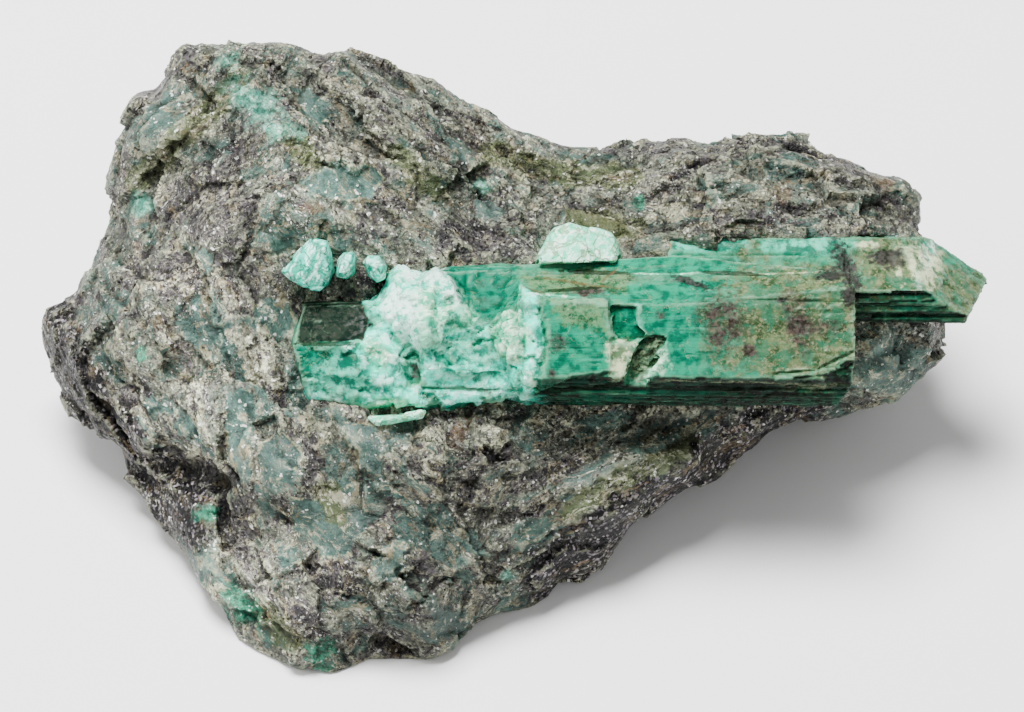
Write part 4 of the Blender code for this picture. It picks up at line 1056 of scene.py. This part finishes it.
        "vividRight": [(0.0, 0.072, 0.038), ("cloudy", 0.36, 0.62, (0.0, 0.198, 0.106), 1.0)],
        "moss": [(0.008, 0.050, 0.018), ("flecked", 0.44, 0.60, (0.070, 0.165, 0.068), 1.0),
                 ("crisp", 0.0, 1.0, (0.19, 0.25, 0.12), 0.28)],
        "white": [(0.0, 0.44, 0.30), ("flecked", 0.38, 0.54, (0.71, 0.99, 0.88), 1.0)],
        "cream": [(0.020, 0.42, 0.23), ("flecked", 0.44, 0.62, (0.66, 0.97, 0.68), 1.0)],
        "clear": [(0.004, 0.110, 0.066), ("flecked", 0.44, 0.64, (0.070, 0.480, 0.330), 1.0)],
        "bone": [(0.085, 0.130, 0.060), ("flecked", 0.42, 0.62, (0.50, 0.54, 0.32), 1.0)],
        "glass": [(0.0, 0.008, 0.004), ("cloudy", 0.42, 0.58, (0.012, 0.022, 0.014), 1.0),
                  ("fine", 0.52, 0.62, (0.034, 0.034, 0.027), 0.7)],
        "notch": [(0.026, 0.052, 0.028), ("fine", 0.45, 0.55, (0.14, 0.20, 0.11), 1.0)],
        "residue": [(0.010, 0.006, 0.0065), ("fine", 0.38, 0.62, (0.056, 0.038, 0.036), 1.0)],
        "dark": [(0.006, 0.016, 0.006)],
        "rust": [(0.085, 0.052, 0.018)],
        "tan": [(0.30, 0.13, 0.04)],
    },
    "streakOnVivid": ("streaks", 0.55, 0.66, (0.01, 0.32, 0.21), 0.22),
    # painted shade: the colours of the faces that look down the show face
    "underColours": [(0.002, 0.006, 0.002), (0.006, 0.085, 0.048), (0.004, 0.004, 0.002)],
    "underShare": 0.96,
    "micaColours": [(0.002, 0.002, 0.002), (0.034, 0.030, 0.030)],
    "crackTouch": (0.45, (0.20, 0.32, 0.18)),
    # painted highlight on proud edges; painted shade, turned towards teal, in sunken places
    "edgeHighlight": (0.28, (0.30, 0.52, 0.34)),
    "sunkShadeColour": (0.26, 0.66, 0.56),
    "rims": {  # how strong each finish is, how ragged its rim and how soft
        "olive": (1.0, 1.2, 0.35), "milky": (1.0, 0.9, 0.4), "vivid": (1.0, 0.9, 0.16),
        "moss": (0.80, 1.8, 0.4), "white": (0.92, 1.5, 0.7), "cream": (0.88, 1.4, 0.7),
        "clear": (0.9, 1.2, 0.6), "bone": (0.85, 1.6, 0.4), "glass": (1.0, 0.3, 0.15),
        "notch": (0.9, 0.8, 0.2), "residue": (1.0, 1.5, 0.55), "mica": (0.92, 1.6, 0.35),
        "dark": (0.85, 0.9, 0.12), "rust": (0.6, 1.2, 0.3), "tan": (1.0, 0.5, 0.12),
    },
    "residueRough": 0.3,
    "glassRough": 0.4,
    "coat": 0.12,
    "bumps": (0.035, 0.06, -0.03),  # lines, fine grain, cracks
}


def crystalPiece(node, name, voxel, sculpt):
    piece = copyOfNode(node, name)
    applyModifier(piece, "REMESH", mode="VOXEL", voxel_size=voxel * mm)
    wrapTo = treeOf([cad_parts[node]])
    points = evened(piece, places(piece), 1)
    reach, kept, drawn = cluster["wrap"]
    for i, point in enumerate(points):
        hit = wrapTo.find_nearest(Vector(point), reach * mm)[0]
        if hit is not None:
            points[i] = point * kept + np.array(hit) * drawn
    setPlaces(piece, points)
    out = normals(piece)
    show = toShow(points)
    setPlaces(piece, points + out * (sculpt(show, out) * mm)[:, None])
    return piece, show


def alongPrism(show, stretch):
    return np.stack([show[:, 0] / stretch, show[:, 1], show[:, 2]], axis=1)


def zonesOf(name):
    return [corners for kind, _, _, corners in cluster["zones"] if kind == name]


def upwards(out):  # 1 where a face looks up the show face, -1 where it looks down it
    return out[:, 1] * lean + out[:, 2] * rise


def platesField(show, out):  # the thin plates that step down under the prisms
    u, v = show[:, 0], show[:, 1]
    right = smoothStep(*cluster["platesRight"], u)
    left = smoothStep(*cluster["platesLeft"], u)
    plates = smoothStep(*cluster["below"], upwards(out)) * (right + cluster["platesShare"] * left)
    plates = np.clip(plates, 0.0, 1.0)
    mean, swing, often, start = cluster["plateSpacing"]
    spacing = mean + swing * np.sin(v * often + start)
    lines = alongPrism(show, cluster["striationStretch"])
    leaning = v + cluster["plateLean"] * u + cluster["plateSwayed"] * ripple(lines, *cluster["plateSway"])
    steps = (np.mod(leaning, spacing) / spacing - 0.5) * cluster["plateHeight"]
    crumbs = chips(alongPrism(show, cluster["crumbStretch"]), *cluster["crumbs"])
    return (steps + crumbs * smoothStep(*cluster["crumbsUpTo"], u)) * plates


def sculptCluster(show, out):  # how far each point of the large crystals goes out, in mm
    u = show[:, 0]
    facing = smoothStep(*cluster["facing"], out[:, 2] * lean - out[:, 1] * rise)
    jagged = cluster["jagged"] * ripple(show, *cluster["jag"])
    loose = sum([zonesOf(kind) for kind in cluster["brokenFinishes"]], [])
    loose = np.maximum(patchField(show, cluster["milky"]), zonesField(show, loose))
    broken = smoothStep(*cluster["brokenRim"], loose)
    broken = np.maximum(broken, smoothStep(*cluster["leftEnd"], u) * cluster["leftShare"])
    polished = [corners for _, height, _, corners in cluster["zones"] if height < cluster["polishedBelow"]]
    polished = smoothStep(*cluster["polishedRim"], zonesField(show, polished + zonesOf("glass")))
    broken *= 1.0 - cluster["polished"] * polished
    swayed = show + cluster["swayed"] * ripple(show, *cluster["sway"])[:, None]
    rough = chips(show, *cluster["blocks"]) + chips(swayed, *cluster["splinters"])
    rough += scoops(swayed, *cluster["bowls"])
    ridges = ripple(alongPrism(show, cluster["striationStretch"]), *cluster["striation"])
    ridges *= cluster["striationHeight"]
    ledges = chips(alongPrism(show, cluster["ledgeStretch"]), *cluster["ledges"])
    worn = ripple(show, *cluster["wornPits"]) * cluster["wornDepth"] + chips(show, *cluster["wornChips"])
    worn *= smoothStep(*cluster["wornFrom"], u)
    heights = (ridges + ledges + worn) * (1.0 - broken) + rough * broken + platesField(show, out)
    for line, width, depth in cluster["dips"]:
        heights -= depth * facing * smoothStep(*cluster["dipRim"], strokeField(show, line, width) + jagged)
    for _, height, inward, corners in cluster["zones"]:
        if height:
            field = zoneField(show, corners) + jagged
            heights += height * facing * smoothStep(cluster["zoneRim"], inward, field)
    torn = smoothStep(*cluster["notchRim"], patchField(show, cluster["notch"]))
    return heights + torn * chips(show, *cluster["notchChips"])


def sculptBlock(show, out):
    return chips(show, *pale["chips"])


def slantNotch(piece, show):
    across, up, level = cluster["notchMiddle"]
    slanted = 1.0 - smoothStep(*cluster["notchAcross"], abs(show[:, 0] - across))
    slanted *= 1.0 - smoothStep(*cluster["notchUp"], abs(show[:, 1] - up))
    points = places(piece)
    points[:, 0] += cluster["notchSlant"] * (show[:, 1] - level) * slanted * mm
    setPlaces(piece, points)


def proudness(piece, rounds):  # how far each point stands out of its surroundings, in mm
    points = places(piece)
    return ((points - evened(piece, points, rounds)) * normals(piece)).sum(axis=1) / mm


def clusterPiece():
    piece, show = crystalPiece("emerald_cluster", "emeraldCluster", cluster["voxel"], sculptCluster)
    slantNotch(piece, show)
    size, seed, seedStep, amount = cluster["wander"]
    for i, name in enumerate(cluster["finishes"]):
        field = patchField(show, cluster.get(name, []))
        for corners in zonesOf(name):
            field = np.maximum(field, zoneField(show, corners))
        setField(piece, name, wandering(show, field, size, seed + seedStep * i, amount))
    setField(piece, "side", smoothStep(*cluster["side"], show[:, 0]))
    # painted shade: faces that look down the show face are marked, and the material paints them dark
    under = smoothStep(*cluster["under"], -upwards(normals(piece)))
    setField(piece, "under", under * smoothStep(*cluster["underFrom"], show[:, 0]))
    # painted light: proud edges are marked for a painted highlight, sunken places for painted shade
    for name, sign in (("edge", 1.0), ("sunk", -1.0)):
        rounds, least, most = cluster[name]
        setField(piece, name, np.clip((sign * proudness(piece, rounds) - least) / most, 0.0, 1.0))
    smoothShaded(piece, cluster["smoothAngle"])
    print("emerald cluster:", len(piece.data.polygons), "faces")
    return piece


def emeraldMaterial():
    made, tree, shader = newMaterial("emeraldCrystal", **cluster["gloss"])
    place = showCoordinates(tree)
    shift = useGroup(tree, raggedRim, Vector=place, Scale=cluster["rimScale"])["Shift"]

    def level(name, value):
        return ramp(tree, value, *cluster["levels"][name])

    def times(*values):
        return sums(tree, "MULTIPLY", *values)

    def stretched(stretch, *settings):
        return cloud(tree, turned(tree, place, 0.0, (stretch, 1.0, 1.0)), *settings)

    def mask(name):
        return maskOf(tree, name, shift, *cluster["rims"][name][1:])

    patterns = {name: cloud(tree, place, *cluster[name]) for name in ("mottle", "fine", "cloudy")}
    patterns["streaks"] = stretched(*cluster["streaks"])
    patterns["crisp"] = level("crisp", patterns["fine"])
    scale, detail = cluster["bendScale"]
    bend = addNode(tree, "TexNoise", Vector=place, Scale=scale, Detail=detail).outputs["Color"]
    bent = bentBy(tree, place, bend, cluster["bend"])
    grainTone, _ = tones(tree, "TexVoronoi", bent, Scale=cluster["grains"])
    crispShare, grainShare, less = cluster["flecks"]
    flecked = sums(tree, "SUBTRACT", patterns["cloudy"], less)
    flecked = sums(tree, "MULTIPLY_ADD", grainTone["Red"], grainShare, flecked)
    patterns["flecked"] = sums(tree, "MULTIPLY_ADD", patterns["crisp"], crispShare, flecked)

    def laid(colour, *layers):  # one colour after another over the first, each where its pattern is high
        for pattern, low, high, over, share in layers:
            colour = blend(tree, ramp(tree, patterns[pattern], low, high, 0.0, share), colour, over)
        return colour

    def over(base, name, colour=None):
        share = cluster["rims"][name][0]
        amount = times(mask(name), share) if share < 1.0 else mask(name)
        return blend(tree, amount, base, colour or laid(*cluster["colours"][name]))

    body = over(laid(*cluster["colours"]["body"]), "olive")
    # painted shade: downward faces get dark green and near-black colours
    darkUnder, lightUnder, underLine = cluster["underColours"]
    underColour = blend(tree, level("under", patterns["cloudy"]), darkUnder, lightUnder)
    underColour = blend(tree, level("underLines", patterns["streaks"]), underLine, underColour)
    body = blend(tree, times(fieldOf(tree, "under"), cluster["underShare"]), body, underColour)
    body = over(body, "milky")
    vivid = [laid(*cluster["colours"][name]) for name in ("vividLeft", "vividRight")]
    body = over(body, "vivid", laid(blend(tree, fieldOf(tree, "side"), *vivid), cluster["streakOnVivid"]))
    for name in ("moss", "white", "cream", "clear", "bone"):
        body = over(body, name)
    glass = mask("glass")
    body = blend(tree, glass, body, laid(*cluster["colours"]["glass"]))
    cracks = useGroup(tree, hairCracks, Vector=place, **cluster["cracks"])["Line"]
    cracks = times(cracks, level("onGlass", glass))
    # cracks get their own colour; proud edges get a painted highlight
    for value, touch in ((cracks, "crackTouch"), (fieldOf(tree, "edge"), "edgeHighlight")):
        share, colour = cluster[touch]
        body = blend(tree, times(value, share), body, colour)
    # painted shade: sunken places are darkened, and turned towards teal as if light came from within
    body = blend(tree, fieldOf(tree, "sunk"), body, cluster["sunkShadeColour"], "MULTIPLY")
    body = over(body, "notch")
    residue = times(mask("residue"), level("residue", patterns["cloudy"]))
    body = blend(tree, residue, body, laid(*cluster["colours"]["residue"]))
    flakes = useGroup(tree, micaFlakes, Vector=place, **cluster["flakes"])
    body = over(body, "mica", blend(tree, flakes["Tone"], *cluster["micaColours"]))
    for name in ("dark", "rust", "tan"):
        body = over(body, name)
    # painted shade: downward faces are darkened once more
    body = blend(tree, 1.0, body, level("shade", fieldOf(tree, "under")), "MULTIPLY")
    tree.links.new(body, shader.inputs["Base Color"])

    rough = sums(tree, "MULTIPLY_ADD", residue, cluster["residueRough"], level("rough", patterns["cloudy"]))
    rough = sums(tree, "MULTIPLY_ADD", glass, cluster["glassRough"], rough)
    tree.links.new(rough, shader.inputs["Roughness"])
    tree.links.new(times(mask("milky"), cluster["coat"]), shader.inputs["Coat Weight"])
    lineHeight, fineHeight, crackHeight = cluster["bumps"]
    height = times(patterns["fine"], fineHeight)
    height = sums(tree, "MULTIPLY_ADD", stretched(*cluster["lines"]), lineHeight, height)
    bumped(tree, shader, sums(tree, "MULTIPLY_ADD", cracks, crackHeight, height), mm)
    return made


pale = {  # the pale stub, the chips and the sliver
    "chips": (2.4, 0.06, 0.11, 8.0),
    "mottle": (0.7, 4.0, 0.6),
    "fibres": (1.9, 4.0, 0.65),
    "fibreTurn": 62.0,
    "fibreLow": 0.44,
    "fibreSpread": 0.38,
    "bendScale": (0.9, 4.0),
    "bend": 3.0,
    "blocks": 0.50,
    "levels": {
        "mottle": (0.46, 0.60, 0.0, 0.5), "blocks": (0.4, 1.0, 0.0, 0.6), "cracks": (0.0, 0.11, 1.0, 0.0),
        "cracksOften": (0.38, 0.54, 0.15, 0.75), "rough": (0.3, 0.7, 0.20, 0.40),
    },
    "bumps": (0.11, -0.08),  # fibres, cracks
    "gloss": {"IOR": 1.58, "Specular_IOR_Level": 0.14, "Subsurface_Radius": (0.5, 1.0, 0.85),
              "Subsurface_Scale": 1.2 * mm},
    "finishes": {  # name, light below the surface, stretch of the fibres; deep, light, white, crack colour
        "pale_beryl": ("paleBeryl", 0.15, 1.6,
                       [(0.08, 0.62, 0.38), (0.66, 0.99, 0.78), (0.92, 0.99, 0.90), (0.10, 0.22, 0.05)]),
        "mint_beryl": ("mintBeryl", 0.12, 2.3,
                       [(0.0, 0.34, 0.22), (0.60, 0.99, 0.88), (0.01, 0.84, 0.62), (0.004, 0.12, 0.06)]),
    },
    "pieces": {
        "emerald_pale": ("paleCrystal", "pale_beryl", 0.16),
        "emerald_chip_1": ("mintChipLarge", "mint_beryl", 0.14),
        "emerald_chip_2": ("mintChipSmall", "mint_beryl", 0.12),
        "emerald_chip_3": ("mintChipEdge", "mint_beryl", 0.12),
        "emerald_sliver": ("mintSliver", "pale_beryl", 0.12),
    },
}


def paleMaterial(name, subsurface, stretch, colours):
    made, tree, shader = newMaterial(name, Subsurface_Weight=subsurface, **pale["gloss"])
    deep, light, white, dark = colours
    place = showCoordinates(tree)

    def level(name, value):
        return ramp(tree, value, *pale["levels"][name])

    mottle = cloud(tree, place, *pale["mottle"])
    fibres = cloud(tree, turned(tree, place, pale["fibreTurn"], (stretch, 1.0, 1.0)), *pale["fibres"])
    low = pale["fibreLow"]
    colour = blend(tree, ramp(tree, fibres, low, low + pale["fibreSpread"] / stretch), deep, light)
    colour = blend(tree, level("mottle", mottle), colour, white)
    scale, detail = pale["bendScale"]
    bend = addNode(tree, "TexNoise", Vector=place, Scale=scale, Detail=detail).outputs["Color"]
    bent = bentBy(tree, place, bend, pale["bend"])
    blockTone, _ = tones(tree, "TexVoronoi", bent, Scale=pale["blocks"])
    colour = blend(tree, level("blocks", blockTone["Red"]), colour, deep)
    cracks = level("cracks", seamsOf(tree, bent, pale["blocks"]))
    colour = blend(tree, sums(tree, "MULTIPLY", cracks, level("cracksOften", mottle)), colour, dark)
    tree.links.new(colour, shader.inputs["Base Color"])
    tree.links.new(level("rough", mottle), shader.inputs["Roughness"])
    fibreHeight, crackHeight = pale["bumps"]
    height = sums(tree, "MULTIPLY_ADD", fibres, fibreHeight, sums(tree, "MULTIPLY", cracks, crackHeight))
    bumped(tree, shader, height, mm)
    return made


rock = rockPiece()
rock.data.materials.append(schistMaterial())
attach(rock, "root")
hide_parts("matrix")

emerald = clusterPiece()
emerald.data.materials.append(emeraldMaterial())
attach(emerald, "root")
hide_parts("emerald_cluster")

finishes = {slot: paleMaterial(*finish) for slot, finish in pale["finishes"].items()}
for node, (name, slot, voxel) in pale["pieces"].items():
    piece, _ = crystalPiece(node, name, voxel, sculptBlock)
    smoothShaded(piece, cluster["smoothAngle"])
    piece.data.materials.append(finishes[slot])
    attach(piece, "root")
    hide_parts(node)
print("small crystals done")

# floor, light and camera
studio = {
    "floorSize": 6.0,
    "floorTone": 0.86,
    "floorShade": 0.98,
    "floorRough": 0.8,
    "floorGrain": (0.02, 2.0),
    "world": 0.45,
    "lens": 320.0,
    "sensor": 36.0,
    "distance": 0.910,
    "nearest": 0.01,
    "lights": {  # place from the middle of the piece, size, power
        "keyLight": ((-0.10, 0.11, 0.50), 0.24, 10.5),
        "sideLight": ((-0.42, -0.02, 0.26), 0.30, 1.3),
        "fillLight": ((0.20, -0.50, 0.42), 0.50, 0.6),
    },
}

bpy.ops.object.select_all(action="DESELECT")
bpy.ops.mesh.primitive_plane_add(size=studio["floorSize"], location=(0.0, 0.0, 0.0))
floor = bpy.context.object
floor.name = "floor"
paper, paperTree, paperShader = newMaterial("paper", Roughness=studio["floorRough"])
paperTone = cloud(paperTree, showCoordinates(paperTree), *studio["floorGrain"])
paperShade = studio["floorTone"] * studio["floorShade"]
paperColour = blend(paperTree, paperTone, (studio["floorTone"],) * 3, (paperShade,) * 3)
paperTree.links.new(paperColour, paperShader.inputs["Base Color"])
floor.data.materials.append(paper)

world = bpy.context.scene.world or bpy.data.worlds.new("studio")
bpy.context.scene.world = world
world.use_nodes = True
background = world.node_tree.nodes["Background"].inputs
background["Color"].default_value = (1.0, 1.0, 1.0, 1.0)
background["Strength"].default_value = studio["world"]

target = Vector((showFace["offsetX"], showFace["offsetY"], showFace["height"])) * mm


def aimed(holder, place, direction):  # at a place, looking back along a direction
    bpy.context.scene.collection.objects.link(holder)
    holder.location = place
    holder.rotation_euler = (-direction).to_track_quat("-Z", "Y").to_euler()


for name, (place, size, power) in studio["lights"].items():
    lamp = bpy.data.lights.new(name, "AREA")
    lamp.shape = "SQUARE"
    lamp.size = size
    lamp.energy = power
    aimed(bpy.data.objects.new(name, lamp), Vector(place) + target, Vector(place))

lens = bpy.data.cameras.new("camera")
lens.lens = studio["lens"]
lens.sensor_width = studio["sensor"]
lens.clip_start = studio["nearest"]
eye = bpy.data.objects.new("camera", lens)
aimed(eye, target + showNormal * studio["distance"], showNormal)
bpy.context.scene.camera = eye
print("floor, light and camera done")
